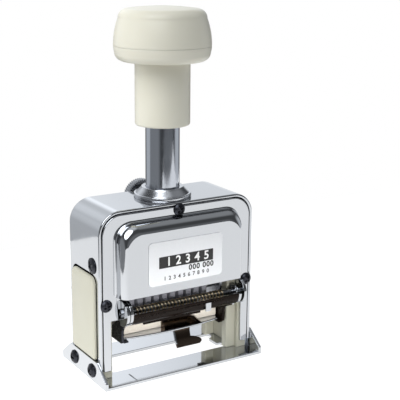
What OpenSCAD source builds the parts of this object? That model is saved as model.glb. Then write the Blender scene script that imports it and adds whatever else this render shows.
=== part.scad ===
// Automatic desk numbering machine with nine number wheels.
// X runs to the right, Y to the back, Z up. The origin is the middle of the base's underside.

/* [Frame] */
// Width of the chromed shell
frame_w = 66; // [64:0.5:70]
// Depth of the chromed shell, front to back
frame_d = 24.5; // [24:0.5:28]
// Height of the shell above the table
frame_h = 64.7; // [62:0.5:70]
// Thickness of the pressed sheet
sheet_t = 1.2; // [1:0.1:1.4]
// Outer radius of the shell's top corners
frame_corner_r = 8.5; // [6:0.5:10]
// Height of the legs' lower ends above the table
leg_lift = 4.3; // [3:0.1:5.5]
// Width of each leg seen from the front
leg_w = 3.4; // [2.6:0.1:3.6]

/* [Base] */
// Depth of the base plate
base_d = 37.3; // [35:0.1:42]
// Width of the base's strip between the window and the shell's side
window_side = 7; // [5:0.5:9]
// Depth of the printing window
window_d = 14.4; // [13:0.1:15]
// Length of the tongue at each end of the window
window_tongue = 2.8; // [1:0.1:2.9]
// Width of that tongue
tongue_w = 6; // [4:0.1:8]
// Radius of the window's corners
window_r = 1.7; // [1:0.1:1.8]
// Height of the turned-up side ears
ear_h = 8.4; // [7.5:0.1:9.5]
// Depth of the ears' level top
ear_top_d = 22; // [20:0.5:26]
// Height of the ears' upright ends
ear_end_h = 2.8; // [2:0.1:4]
// Length of the engraved index line
index_len = 6.2; // [4:0.1:7]

/* [Hoods] */
// How far the pressed hoods stand proud of the plates
hood_proud = 5.1; // [4.6:0.1:5.6]
// Distance of the hoods' foot from the shell's side
hood_side = 6.7; // [6:0.1:7.5]
// Inset of the hood's flat face at the sides
hood_side_inset = 2.8; // [2:0.1:4]
// Inset of the hood's flat face at the top
hood_top_inset = 3.7; // [2.5:0.1:5]
// Corner radius at the hood's foot
hood_corner_r = 6; // [4:0.5:8]
// Height of the front hood's open lower edge
front_hood_low = 32.5; // [31.5:0.5:34]
// Height of the rear hood's open lower edge
rear_hood_low = 24; // [20:0.5:30]
// Depth of the rear hood's top below the shell's top
rear_hood_drop = 12.7; // [12:0.1:18]
// Width of the label plate
label_w = 31.4; // [20:0.2:36]
// Height of the label plate
label_h = 16.5; // [10:0.5:18]
// Thickness of the label plate
label_t = 0.3; // [0.2:0.1:0.6]

/* [Guides] */
// Thickness of the guide walls
guide_wall_t = 4.15; // [3.25:0.05:4.5]
// How far the rails reach in from the guide walls
rail_reach = 3.9; // [3.2:0.1:4]
// Depth of each rail
rail_d = 3.2; // [2.5:0.1:4]
// Width of the channel that the carriage runs in
channel_w = 12; // [10:0.5:13]
// Height of the block under the shell's top
block_h = 6; // [5.5:0.1:7]
// Gap between that block and the guides
block_gap = 2.5; // [1:0.1:4]
// Depth of the side panel that shows through the shell
panel_d = 18.4; // [16:0.2:19]
// Height of the side panel's upper edge
panel_top = 40.3; // [36:0.1:41]
// How far the side panel stands out of the shell
panel_proud = 1.2; // [0.6:0.1:1.5]

/* [Handle] */
// Height of the whole machine
machine_h = 135; // [133:0.5:142]
// Largest radius of the knob
knob_r = 18; // [16:0.5:21]
// Height of the knob
knob_h = 19.7; // [18.5:0.1:22]
// Height of the knob's parting line above its underside
knob_seam_h = 5.6; // [4.5:0.1:7]
// Outer radius of the sleeve
sleeve_r = 10.25; // [9.5:0.05:11]
// Length of the sleeve
sleeve_len = 23.5; // [21:0.1:25]

/* [Plunger] */
// Stroke of the plunger
stroke = 18; // [17:0.5:18.5]
// Outer radius of the plunger tube
tube_r = 6.4; // [6:0.05:6.8]
// Wall of the plunger tube
tube_wall = 0.8; // [0.6:0.1:1]
// Radius of the collar's flange
collar_r = 10.85; // [10:0.05:12]
// Height of the collar above the shell
collar_h = 3.9; // [3:0.1:4.5]
// Thickness of the collar's upright rim
collar_rim = 1.5; // [1:0.1:2]
// Wire diameter of the return spring
return_wire = 0.9; // [0.7:0.05:1.1]
// Height of the cross bar that carries the return spring
spring_bar_z = 44.4; // [43.6:0.1:45.5]

/* [Number wheels] */
// Outer radius over the digits
wheel_r = 10.2; // [9.8:0.05:10.3]
// Width of a wheel's ratchet
ratchet_w = 0.9; // [0.7:0.05:1]
// Gap between one wheel's ratchet and the next wheel's digits
wheel_gap = 0.3; // [0.2:0.05:0.4]
// Length of the spacer beside the repeat wheel
spacer_len = 4.25; // [3:0.05:5]
// Radius over the ratchet teeth
ratchet_r = 7.4; // [6.6:0.1:7.6]
// Radius of the wheel axle
axle_r = 2; // [1.5:0.1:2.5]
// Height that the digits stand out
digit_relief = 0.8; // [0.5:0.1:1.1]

/* [Ink pad] */
// Distance of the pad's pivot in front of the wheel axle
pivot_y = 12.4; // [12.2:0.1:13]
// Height of the pad's pivot at rest
pivot_z = 26; // [25.6:0.1:26.4]
// Thickness of the felt pad
felt_t = 3.5; // [2.5:0.1:3.6]
// Depth of the felt pad
felt_d = 11.4; // [9:0.1:12]
// Radius of the arms' rounded heads
arm_head_r = 4.8; // [4.4:0.1:5]
// Radius of the lugs that carry the pivot rod
lug_r = 4.9; // [4:0.1:5]
// Thickness of the arms
arm_t = 1.2; // [0.8:0.1:1.3]
// Width of the pull tab's neck
tab_neck_w = 7; // [5:0.1:9]
// Width of the pull tab's flared foot
tab_foot_w = 12; // [9:0.1:14]

/* [Repeat dial] */
// Radius of the knurled dial
dial_r = 7; // [6:0.1:7.2]
// Thickness of the dial
dial_t = 3.6; // [2.5:0.1:4]
// Depth of the dial's centre below the shell's top
dial_drop = 3.5; // [3.3:0.1:4.2]
// Number of grooves round the dial's edge
dial_grooves = 36; // [12:1:60]

/* [Fasteners] */
// Head radius of the front and back screws
screw_head_r = 2.35; // [2:0.05:2.5]
// Head radius of the ear screws
ear_head_r = 2.65; // [2:0.05:2.9]
// Head radius of the side screws
side_head_r = 3; // [2.4:0.1:3.2]
// Height of the domed screw heads
screw_head_h = 1.5; // [1:0.1:2]
// Radius of the screw shanks
screw_r = 1; // [0.8:0.05:1.1]
// Distance of the ear screws from the middle plane, front to back
ear_screw_y = 7.4; // [5:0.1:8]
// Height of the ear screws
ear_screw_z = 4.1; // [3.6:0.1:4.6]
// Distance of the side screws in front of the middle plane
side_screw_y = 6.7; // [4.5:0.1:8]
// Height of the side screws
side_screw_z = 44.1; // [43.6:0.1:50]
// Distance of the plates' lower screws from the shell's sides
plate_screw_side = 2.6; // [2.4:0.1:2.8]
// Height of the plates' lower screws
plate_screw_z = 30; // [27:0.1:40]
// Distance of the back plate's upper screws from the shell's sides
back_screw_side = 12; // [11:0.5:17]
// Depth of the back plate's upper screws below the shell's top
back_screw_drop = 4.5; // [4:0.1:5]

/* [Clearances] */
// Gap between flat sliding faces
slide_gap = 0.3; // [0.2:0.05:0.35]
// Radial gap of a turning or sliding fit
fit_gap = 0.05; // [0.03:0.01:0.08]
// Gap between the felt and the digits at rest
ink_gap = 0.3; // [0.2:0.05:0.4]

/* [Hidden] */
$fn = 64;
eps = 0.01;
wheel_count = 9;
digit_count = 10;

// Frame
half_w = frame_w / 2;
half_d = frame_d / 2;
inner_x = half_w - sheet_t;
inner_y = half_d - sheet_t;
inner_top = frame_h - sheet_t;
leg_inner_x = inner_x - leg_w;
base_w = frame_w + 2 * sheet_t;
window_w = frame_w - 2 * window_side;
tongue_r = 1;
index_inset = 5;
index_gap = 4.6;
index_w = 0.3;
index_depth = 0.25;
index_x = -window_w / 2 + index_inset;
index_start = window_d / 2 + index_gap;

// Heights below the shell's top
top_screw_edge = 0.4;
block_low = inner_top - block_h;
guide_top = block_low - block_gap;
top_screw_z = inner_top - screw_r - top_screw_edge;
back_screw_z = frame_h - back_screw_drop;
back_screw_x = half_w - back_screw_side;
plate_screw_x = half_w - plate_screw_side;
dial_z = frame_h - dial_drop;
front_hood_top = top_screw_z - screw_head_r - fit_gap;
rear_hood_top = frame_h - rear_hood_drop;

// Hoods and label
hood_w = frame_w - 2 * hood_side;
hood_steps = [0, 25, 45, 65, 90];
label_r = 1.5;
label_z = (front_hood_low + front_hood_top - hood_top_inset) / 2;

// Guides
guide_wall_x = inner_x - fit_gap - guide_wall_t;
rail_x = guide_wall_x - rail_reach;
panel_r = 3;
guide_half_d = inner_y - fit_gap;
panel_low = ear_h + slide_gap;

// Handle and plunger
knob_z = machine_h - knob_h;
seam_z = knob_z + knob_seam_h;
sleeve_z = knob_z - sleeve_len;
tube_in_r = tube_r - tube_wall;
knob_roof = 7;
tube_top = machine_h - knob_roof;
plug_h = 3;
plug_proud = 1;
bore_in_knob = tube_r + fit_gap;
socket_top = tube_top + 1.5;
collar_bush_r = 8;
collar_neck_t = 1.3;
collar_step = 0.5;
block_side = 9;
block_w = frame_w - 2 * block_side;
bar_w = 3;
bar_h = 3;
bar_end = 1;
slot_gap = 0.3;
seat_h = 1;
seat_r = tube_in_r - slide_gap;
spring_low = spring_bar_z + bar_h + seat_h;
spring_high = tube_top - plug_h;
return_turns = 18;
return_gap = 0.35;
return_mean_r = tube_in_r - slide_gap - return_wire / 2 - return_gap;

// Knob: its side bulges from the seam, steeper below, and its crown is nearly flat
knob_bulge_up = 23;
knob_bulge_down = 11.5;
crown_r = 11;
crown_drop = 0.9;
crown_mid_drop = 0.25;
shoulder_h = 4.1;
lip_w = 4;
lip_h = 3.2;
sleeve_edge_r = 0.9;
side_top_z = machine_h - crown_drop - shoulder_h;

// Carriage
paper_t = 0.1;
axle_z = stroke + wheel_r + paper_t;
bridge_t = 2;
bridge_gap = 2;
bridge_low = axle_z + wheel_r + bridge_gap;
bridge_top = bridge_low + bridge_t;
bridge_d = 14;
spigot_h = 1;
side_t = 1;
arm_room = 2.5;
side_out_x = rail_x - arm_room;
side_in_x = side_out_x - side_t;
side_disc_r = wheel_r - 0.7;
side_inset = 1;
shoe_x = guide_wall_x - slide_gap;
shoe_d = channel_w - 2 * slide_gap;
shoe_rise = 2;
shoe_low = axle_z + shoe_rise;
rear_rod_y = 12.8;
feed_rise = 7.9;
detent_fall = 4.9;
feed_rod_z = axle_z + feed_rise;
detent_rod_z = axle_z - detent_fall;
rod_r = 1;
rod_gap = 0.2;
lobe = 2;

// Number wheels: the row fills the space between the side plates
row_gap = 0.6;
repeat_gap = 0.2;
spacer_gap = 0.25;
repeat_rim_w = 2.2;
repeat_ratchet_w = 1.2;
repeat_w = repeat_rim_w + repeat_ratchet_w;
row_w = 2 * side_in_x - row_gap - repeat_gap - repeat_w - spacer_gap - spacer_len - rod_gap;
wheel_pitch = row_w / wheel_count;
wheel_w = wheel_pitch - wheel_gap;
digit_w = wheel_w - ratchet_w;
digit_pad = 4.3;
digit_inset = 0.15;
rim_r = wheel_r - digit_relief;
wheels_x = -side_in_x + row_gap;
ratchet_x = wheels_x + row_w + repeat_gap;
repeat_teeth = 24;
tooth_depth = 0.9;
tooth_share = 0.92;
spacer_x = ratchet_x + repeat_w + spacer_gap;
spacer_r = axle_r + 1.6;

// Feed and detents
feed_len = sqrt(rear_rod_y * rear_rod_y + pow(feed_rod_z - axle_z, 2));
feed_angle = atan2(feed_rod_z - axle_z, rear_rod_y);
detent_len = sqrt(rear_rod_y * rear_rod_y + pow(detent_rod_z - axle_z, 2));
detent_angle = atan2(detent_rod_z - axle_z, rear_rod_y);
finger_w = ratchet_w - 0.3;
finger_x = wheels_x + digit_w + (ratchet_w - finger_w) / 2 + 0.1;
finger_gap = 0.5;
finger_root = 0.3;
finger_t = 1.2;
comb_gap = 0.4;
sleeve_wall = 0.9;
bush_wall = 0.7;
bush_inset = 0.15;

// Ink pad
arm_gap = 0.5;
arm_in_x = side_out_x + arm_gap;
arm_out_x = arm_in_x + arm_t;
lug_left_x = arm_out_x + slide_gap + sheet_t;
lug_right_x = plate_screw_x - screw_head_r - slide_gap;
throat_z = 23.6;
head_gap = 1.1;
head_in_x = lug_right_x - sheet_t - head_gap - arm_t;
hub_r = 2.6;
web_t = 1;
web_d = 2.6;
web_gap = 0.2;
web_top = pivot_z - arm_head_r - 0.1;
quarter_back = 0.5;
quarter_up = 0.4;
arm_front_top = pivot_z - 6.5;
bar_notch_low = 0.4;
bar_notch_top = 1.2;
bar_tab_y = [-0.6, 0.3];
felt_top = stroke + paper_t - ink_gap;
felt_low = felt_top - felt_t;
arm_back_low = felt_low + 1.5;
arm_notch = [-2.5, felt_top + 0.6];
tray_t = 0.8;
tray_low = felt_low - tray_t;
ledge_t = 0.75;
ledge_w = 1.8;
ledge_low = tray_low - ledge_t - fit_gap;
arm_front_y = -pivot_y + 3;
arm_back_y = 6;
tray_gap = 0.2;
tray_x = arm_in_x - tray_gap;
tray_front_y = -7.9;
tray_bulge = 2;
tray_back_y = arm_back_y + 0.3;
felt_x = tray_x - tray_gap;
bar_wall = 0.8;
bar_notch_end = 8.8;
bar_notch_w = 2.5;
bar_tab_ends = [6.2, 12.4];
bar_tab_low = 1.1;
pivot_rod_r = 1;
pivot_head_r = 1.5;
pivot_head_t = 0.6;
spring_wire = 0.45;
spring_mean_r = 1.35;
pad_spring_turns = 22;
scoop_w = 16;
scoop_r = 3.2;
scoop_gap = 0.4;
scoop_edge = 0.6;
scoop_foot = 0.25;
tab_t = 0.8;
tab_shift = 2;
tab_neck_h = 3.2;
tab_foot_h = 2.4;
tab_reach = 3.6;
tab_inset = 1.2;

// Dial
dial_x = -1;
dial_gap = 0.9;
dial_y = half_d + dial_gap;
dial_groove = 0.5;
shaft_r = 1.6;
shaft_gap = 0.6;
shaft_head_r = 2.6;
shaft_head_h = 1;

// Screw lengths under the heads
plate_screw_len = 7;
top_screw_len = 3.6;
side_screw_len = 5;
ear_screw_len = 6;

// Profiles drawn in X and Z become slabs along Y, and those in Y and Z slabs along X
module slab_y(y0, y1) {
  translate([0, y1, 0]) rotate([90, 0, 0]) linear_extrude(y1 - y0) children();
}

module slab_x(x0, x1) {
  translate([x0, 0, 0]) rotate([90, 0, 90]) linear_extrude(x1 - x0) children();
}

module box(x0, x1, y0, y1, z0, z1) {
  translate([x0, y0, z0]) cube([x1 - x0, y1 - y0, z1 - z0]);
}

module rod_x(x0, x1, y, z, r) {
  translate([x0, y, z]) rotate([0, 90, 0]) cylinder(h = x1 - x0, r = r);
}

module rod_y(y0, y1, x, z, r) {
  translate([x, y1, z]) rotate([90, 0, 0]) cylinder(h = y1 - y0, r = r);
}

module both_sides() {
  children();
  mirror([1, 0, 0]) children();
}

// Upright rectangle with rounded top corners, from low to high
module arch(half, low, high, r) {
  translate([-half, low]) square([2 * half, high - low - r]);
  translate([-half + r, low]) square([2 * half - 2 * r, high - low]);
  translate([-half + r, high - r]) circle(r);
  translate([half - r, high - r]) circle(r);
}

// The same outline as points, for the hoods
function arc(cx, cz, r, a0, a1, n) =
  [for (i = [0:n]) let (a = a0 + (a1 - a0) * i / n) [cx + r * cos(a), cz + r * sin(a)]];
function arch_points(half, low, high, r) = concat(
  [[half, low]],
  arc(half - r, high - r, r, 0, 90, 8),
  arc(-half + r, high - r, r, 90, 180, 8),
  [[-half, low]]
);

// Domed screw with a cross recess, its head's seat at the origin and its shank along -Z
module cross_screw(head_r, len) {
  dome_r = head_r * 1.35;
  recess_x = head_r * 0.62;
  recess_y = head_r * 0.15;
  recess_low = screw_head_h - 0.8;
  difference() {
    union() {
      intersection() {
        translate([0, 0, screw_head_h - dome_r]) sphere(dome_r);
        cylinder(h = 2 * screw_head_h, r = head_r);
      }
      translate([0, 0, -len]) cylinder(h = len + eps, r = screw_r);
    }
    for (turn = [0, 90]) rotate([0, 0, turn])
      box(-recess_x, recess_x, -recess_y, recess_y, recess_low, screw_head_h + eps);
  }
}

// Coiled wire round the Z axis, from z0 to z1
module coil(z0, z1, mean_r, wire, turns, steps) {
  sides = 6;
  count = turns * steps;
  rise = z1 - z0 - wire;
  rings = [for (i = [0:count]) let (a = 360 * i / steps, z = z0 + wire / 2 + rise * i / count)
    for (k = [0:sides - 1]) let (b = 360 * k / sides, r = mean_r + wire / 2 * cos(b))
      [r * cos(a), r * sin(a), z + wire / 2 * sin(b)]];
  walls = [for (i = [0:count - 1]) for (k = [0:sides - 1]) let (n = (k + 1) % sides) for (t = [0, 1])
    t == 0 ? [i * sides + k, i * sides + n, (i + 1) * sides + n]
      : [i * sides + k, (i + 1) * sides + n, (i + 1) * sides + k]];
  first = [for (k = [0:sides - 1]) sides - 1 - k];
  last = [for (k = [0:sides - 1]) count * sides + k];
  polyhedron(rings, concat([first], walls, [last]), convexity = 10);
}

// Window with rounded corners, and a tongue at each end
module window_outline() {
  difference() {
    union() {
      square([window_w - 2 * window_r, window_d], center = true);
      square([window_w, window_d - 2 * window_r], center = true);
      for (sx = [-1, 1], sy = [-1, 1])
        translate([sx * (window_w / 2 - window_r), sy * (window_d / 2 - window_r)]) circle(window_r);
    }
    both_sides() translate([window_w / 2 - window_tongue, 0]) {
      flat = tongue_w / 2 - tongue_r;
      translate([0, -flat]) square([window_tongue + tongue_r, 2 * flat]);
      translate([tongue_r, -tongue_w / 2]) square([window_tongue, tongue_w]);
      for (sy = [-1, 1]) translate([tongue_r, sy * flat]) circle(tongue_r);
    }
  }
}

// Base plate with its window, index line and turned-up ears
module base_plate() color("gainsboro") {
  ear = [[-base_d / 2, 0], [base_d / 2, 0], [base_d / 2, ear_end_h], [ear_top_d / 2, ear_h],
    [-ear_top_d / 2, ear_h], [-base_d / 2, ear_end_h]];
  difference() {
    union() {
      box(-base_w / 2, base_w / 2, -base_d / 2, base_d / 2, 0, sheet_t);
      both_sides() slab_x(half_w, base_w / 2) polygon(ear);
    }
    translate([0, 0, -1]) linear_extrude(sheet_t + 2) window_outline();
    box(index_x - index_w / 2, index_x + index_w / 2, -index_start - index_len, -index_start,
      sheet_t - index_depth, sheet_t + 1);
    both_sides() for (s = [-1, 1])
      rod_x(half_w - 1, base_w / 2 + 1, s * ear_screw_y, ear_screw_z, screw_r + fit_gap);
  }
}

// Bent strip that forms the top and both sides
module outer_shell() color("silver") {
  difference() {
    slab_y(-half_d, half_d) difference() {
      arch(half_w, sheet_t, frame_h, frame_corner_r);
      arch(inner_x, -1, inner_top, frame_corner_r - sheet_t);
    }
    cylinder(h = 2 * frame_h, r = collar_bush_r + fit_gap);
    both_sides() {
      slab_x(inner_x - 1, half_w + 1) panel_outline(panel_d / 2 + slide_gap, 0, panel_top + slide_gap);
      for (s = [-1, 1]) {
        box(inner_x - 1, half_w + 1, s > 0 ? panel_d / 2 + 1 : -half_d - 1,
          s > 0 ? half_d + 1 : -panel_d / 2 - 1, 0, leg_lift);
        rod_x(inner_x - 1, half_w + 1, s * ear_screw_y, ear_screw_z, screw_r + fit_gap);
      }
      rod_x(inner_x - 1, half_w + 1, -side_screw_y, side_screw_z, screw_r + fit_gap);
    }
  }
}

// Outline of the side panel in Y and Z
module panel_outline(half, low, high) {
  arch(half, low, high, panel_r);
}

// One hood, drawn on the front and open underneath
module hood(low, high) {
  difference() {
    hood_form(low, high, 0);
    hood_form(low - 1, high, sheet_t);
  }
}

// Solid form of a hood, shrunk all round by the wall
module hood_form(low, high, wall) {
  depth = hood_proud - wall;
  foot_y = half_d - (wall > 0 ? sheet_t + 1 : 0);
  hull() for (a = hood_steps) {
    side = hood_w / 2 - wall - hood_side_inset * (1 - cos(a));
    top = high - wall - hood_top_inset * (1 - cos(a));
    y = a == 0 ? foot_y : half_d + depth * sin(a);
    slab_y(-y - eps, -y) polygon(arch_points(side, low, top, hood_corner_r - wall));
  }
}

// Flat part of a front or back plate, inside the shell
module plate_sheet(hood_low, hood_high, throat_left, throat_right, throat_low) {
  difference() {
    slab_y(-half_d, -inner_y) difference() {
      arch(inner_x - fit_gap, leg_lift, inner_top - fit_gap, frame_corner_r - sheet_t);
      translate([-leg_inner_x, leg_lift - 1]) square([2 * leg_inner_x, throat_low - leg_lift + 1]);
      translate([-throat_left, leg_lift])
        square([throat_left + throat_right, hood_low - leg_lift + eps]);
    }
    hood_form(hood_low - 1, hood_high, sheet_t);
  }
}

// Lug bent forward from the front plate, round the pivot rod
module lug(x0, x1) {
  slab_x(x0, x1) {
    intersection() {
      translate([-pivot_y, pivot_z]) circle(lug_r);
      translate([-pivot_y - lug_r, pivot_z - lug_r]) square([pivot_y + lug_r - inner_y, 2 * lug_r]);
    }
    translate([-pivot_y, pivot_z - lug_r]) square([pivot_y - inner_y, 2 * lug_r]);
  }
}

// Front plate with its hood and the two lugs that carry the ink pad's rod
module front_plate() color("lightgray") {
  difference() {
    union() {
      plate_sheet(front_hood_low, front_hood_top, lug_left_x, lug_right_x, throat_z);
      hood(front_hood_low, front_hood_top);
      lug(-lug_left_x, -lug_left_x + sheet_t);
      lug(lug_right_x - sheet_t, lug_right_x);
    }
    rod_x(-lug_left_x - eps, lug_right_x + slide_gap, -pivot_y, pivot_z, pivot_rod_r + fit_gap);
    rod_x(-lug_left_x - pivot_head_t - slide_gap, -lug_left_x, -pivot_y, pivot_z,
      pivot_head_r + slide_gap);
    both_sides() rod_y(-half_d - 1, -inner_y + 1, plate_screw_x, plate_screw_z, screw_r + fit_gap);
    rod_y(-half_d - 1, -inner_y + 1, 0, top_screw_z, screw_r + fit_gap);
  }
}

// Back plate with its hood and the dial's hole
module back_plate() color("lightgray") {
  difference() {
    rotate([0, 0, 180]) {
      plate_sheet(rear_hood_low, rear_hood_top, leg_inner_x, leg_inner_x, rear_hood_low);
      hood(rear_hood_low, rear_hood_top);
    }
    both_sides() {
      rod_y(inner_y - 1, half_d + 1, plate_screw_x, plate_screw_z, screw_r + fit_gap);
      rod_y(inner_y - 1, half_d + 1, back_screw_x, back_screw_z, screw_r + fit_gap);
    }
    rod_y(inner_y - 1, half_d + 1, dial_x, dial_z, shaft_r + fit_gap);
  }
}

// Moulded guide on the right, with two rails inside and a panel outside
module guide() {
  screw_end = half_d - plate_screw_len - slide_gap;
  difference() {
    union() {
      box(guide_wall_x, inner_x - fit_gap, -guide_half_d, guide_half_d, sheet_t, guide_top);
      for (s = [-1, 1]) {
        y = s * (channel_w / 2 + rail_d / 2);
        box(rail_x, guide_wall_x + eps, y - rail_d / 2, y + rail_d / 2, sheet_t, guide_top);
      }
      slab_x(inner_x - 1, half_w + panel_proud) panel_outline(panel_d / 2, panel_low, panel_top);
    }
    box(rail_x - 1, inner_x - bar_end, -bar_w / 2 - fit_gap, bar_w / 2 + fit_gap,
      spring_bar_z - fit_gap, spring_bar_z + bar_h + fit_gap);
    for (s = [-1, 1]) {
      rod_x(guide_wall_x - 1, half_w, s * ear_screw_y, ear_screw_z, screw_r + fit_gap);
      rod_y(s > 0 ? screw_end : -inner_y - 1, s > 0 ? inner_y + 1 : -screw_end,
        plate_screw_x, plate_screw_z, screw_r + fit_gap);
    }
    rod_x(guide_wall_x - 1, half_w, -side_screw_y, side_screw_z, screw_r + fit_gap);
  }
}

module right_guide() color("ivory") guide();

// Left guide: its front rail stops short of the opening between the legs
module left_guide() color("ivory") {
  rail_face = -channel_w / 2 - rail_d;
  difference() {
    mirror([1, 0, 0]) guide();
    box(-guide_wall_x, -rail_x + 1, rail_face - 1, -channel_w / 2, 0, throat_z);
  }
}

// Block under the shell's top that holds the collar and the plates' upper screws
module head_block() color("gray") {
  screw_end = half_d - plate_screw_len - slide_gap;
  difference() {
    box(-block_w / 2, block_w / 2, -guide_half_d, guide_half_d, block_low, inner_top - fit_gap);
    translate([0, 0, block_low - 1]) cylinder(h = block_h + 2, r = collar_bush_r + fit_gap);
    rod_y(-inner_y - 1, -collar_bush_r, 0, top_screw_z, screw_r + fit_gap);
    both_sides() rod_y(screw_end, inner_y + 1, back_screw_x, back_screw_z, screw_r + fit_gap);
    rod_y(collar_bush_r, inner_y + 1, dial_x, dial_z, shaft_r + fit_gap);
  }
}

// Bush in the block, with an upright rim and a stepped cone on the shell
module collar() color("silver") {
  bore = tube_r + fit_gap;
  neck = tube_r + collar_neck_t;
  rim_z = frame_h + collar_rim;
  top_z = frame_h + collar_h;
  rotate_extrude() polygon([
    [bore, block_low], [collar_bush_r, block_low], [collar_bush_r, frame_h], [collar_r, frame_h],
    [collar_r, rim_z], [collar_r - collar_step, rim_z + collar_step],
    [neck + collar_step, top_z - collar_step], [neck, top_z], [bore, top_z]
  ]);
}

// Thin plate on the hood's face
module label_plate() color("whitesmoke") {
  face_y = half_d + hood_proud + 2 * eps;
  slab_y(-face_y - label_t, -face_y) translate([0, label_z]) {
    square([label_w - 2 * label_r, label_h], center = true);
    square([label_w, label_h - 2 * label_r], center = true);
    for (sx = [-1, 1], sz = [-1, 1])
      translate([sx * (label_w / 2 - label_r), sz * (label_h / 2 - label_r)]) circle(label_r);
  }
}

module front_screws() color("dimgray") {
  both_sides() translate([plate_screw_x, -half_d, plate_screw_z]) rotate([90, 0, 0])
    cross_screw(screw_head_r, plate_screw_len);
  translate([0, -half_d, top_screw_z]) rotate([90, 0, 0]) cross_screw(screw_head_r, top_screw_len);
}

module back_screws() color("dimgray") {
  both_sides() {
    translate([plate_screw_x, half_d, plate_screw_z]) rotate([-90, 0, 0])
      cross_screw(screw_head_r, plate_screw_len);
    translate([back_screw_x, half_d, back_screw_z]) rotate([-90, 0, 0])
      cross_screw(screw_head_r, plate_screw_len);
  }
}

module side_screws() color("dimgray") {
  both_sides() translate([half_w, -side_screw_y, side_screw_z]) rotate([0, 90, 0])
    cross_screw(side_head_r, side_screw_len);
}

module base_screws() color("dimgray") {
  both_sides() for (s = [-1, 1]) translate([base_w / 2, s * ear_screw_y, ear_screw_z])
    rotate([0, 90, 0]) cross_screw(ear_head_r, ear_screw_len);
}

// Fixed rod that the ink pad swings on, with a head outside the left lug
module pad_pivot_rod() color("silver") {
  head_x = -lug_left_x - pivot_head_t;
  difference() {
    union() {
      rod_x(-lug_left_x, lug_right_x, -pivot_y, pivot_z, pivot_rod_r);
      rod_x(head_x, -lug_left_x, -pivot_y, pivot_z, pivot_head_r);
    }
    rod_x(head_x - 1, head_x + pivot_head_t / 2, -pivot_y, pivot_z, pivot_rod_r - slide_gap);
  }
}

// Long coil round the rod that brings the pad back
module pad_return_spring() color("goldenrod") {
  span = side_in_x - row_gap;
  translate([0, -pivot_y, pivot_z]) rotate([0, 90, 0])
    coil(-span, span, spring_mean_r, spring_wire, pad_spring_turns, 12);
}

// Fixed bar through the tube's slots, with the spring's seat on it
module spring_bar() color("slategray") {
  end_x = inner_x - bar_end - fit_gap;
  box(-end_x, end_x, -bar_w / 2, bar_w / 2, spring_bar_z, spring_bar_z + bar_h);
}

// Washer on the bar, inside the tube
module spring_seat() color("gray")
  translate([0, 0, spring_bar_z + bar_h]) cylinder(h = seat_h, r = seat_r);

// Spring inside the tube that lifts the plunger
module return_spring() color("steelblue")
  coil(spring_low, spring_high, return_mean_r, return_wire, return_turns, 16);

// Tube with two slots that the fixed bar runs in
module plunger_tube() color("silver") {
  slot_w = bar_w + 2 * slot_gap;
  slot_low = spring_bar_z - slot_gap;
  slot_top = spring_bar_z + bar_h + stroke + slot_gap;
  difference() {
    translate([0, 0, bridge_top]) cylinder(h = tube_top - bridge_top, r = tube_r);
    translate([0, 0, bridge_low]) cylinder(h = machine_h, r = tube_in_r);
    box(-tube_r - 1, tube_r + 1, -slot_w / 2, slot_w / 2, slot_low, slot_top);
  }
}

// Plug in the tube's top that the spring pushes against
module tube_plug() color("gray")
  translate([0, 0, spring_high]) cylinder(h = plug_h + plug_proud, r = tube_in_r - fit_gap);

// Radius of the knob's side at a height
function knob_side(z) =
  knob_r * sqrt(1 - pow((z - seam_z) / (z > seam_z ? knob_bulge_up : knob_bulge_down), 2));

module knob_cap() color("cornsilk") {
  rise = [for (i = [0:5]) let (z = seam_z + (side_top_z - seam_z) * i / 5) [knob_side(z), z]];
  shoulder = [for (i = [12:-1:0]) let (a = 90 * i / 12)
    [crown_r + (knob_side(side_top_z) - crown_r) * sin(a),
      machine_h - crown_drop - shoulder_h * (1 - cos(a))]];
  rotate_extrude() polygon(concat(
    [[bore_in_knob, seam_z]], rise, shoulder,
    [[crown_r / 2, machine_h - crown_mid_drop], [0, machine_h], [0, socket_top],
      [bore_in_knob, socket_top]]
  ));
}

module knob_base() color("cornsilk") {
  flat_r = knob_r - lip_w;
  under = [for (i = [0:8]) let (a = 90 * i / 8)
    [flat_r + (knob_side(knob_z + lip_h) - flat_r) * sin(a), knob_z + lip_h * (1 - cos(a))]];
  top_z = seam_z - eps;
  rotate_extrude() polygon(concat(
    [[bore_in_knob, knob_z]], under, [[knob_side(top_z), top_z], [bore_in_knob, top_z]]
  ));
}

module handle_sleeve() color("cornsilk") {
  edge = [for (i = [0:6]) let (a = 90 * i / 6)
    [sleeve_r - sleeve_edge_r * (1 - sin(a)), sleeve_z + sleeve_edge_r * (1 - cos(a))]];
  rotate_extrude() polygon(concat(
    [[bore_in_knob, sleeve_z]], edge, [[sleeve_r, knob_z - eps], [bore_in_knob, knob_z - eps]]
  ));
}

// Yoke under the tube, with a shoe in each guide channel
module carriage_bridge() color("darkgray") {
  box(-side_out_x, side_out_x, -bridge_d / 2, bridge_d / 2, bridge_low, bridge_top);
  box(-shoe_x, shoe_x, -shoe_d / 2, shoe_d / 2, bridge_low, bridge_top);
  both_sides() box(side_out_x, shoe_x, -shoe_d / 2, shoe_d / 2, shoe_low, bridge_top);
  translate([0, 0, bridge_top - eps]) cylinder(h = spigot_h, r = tube_in_r - fit_gap);
}

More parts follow.
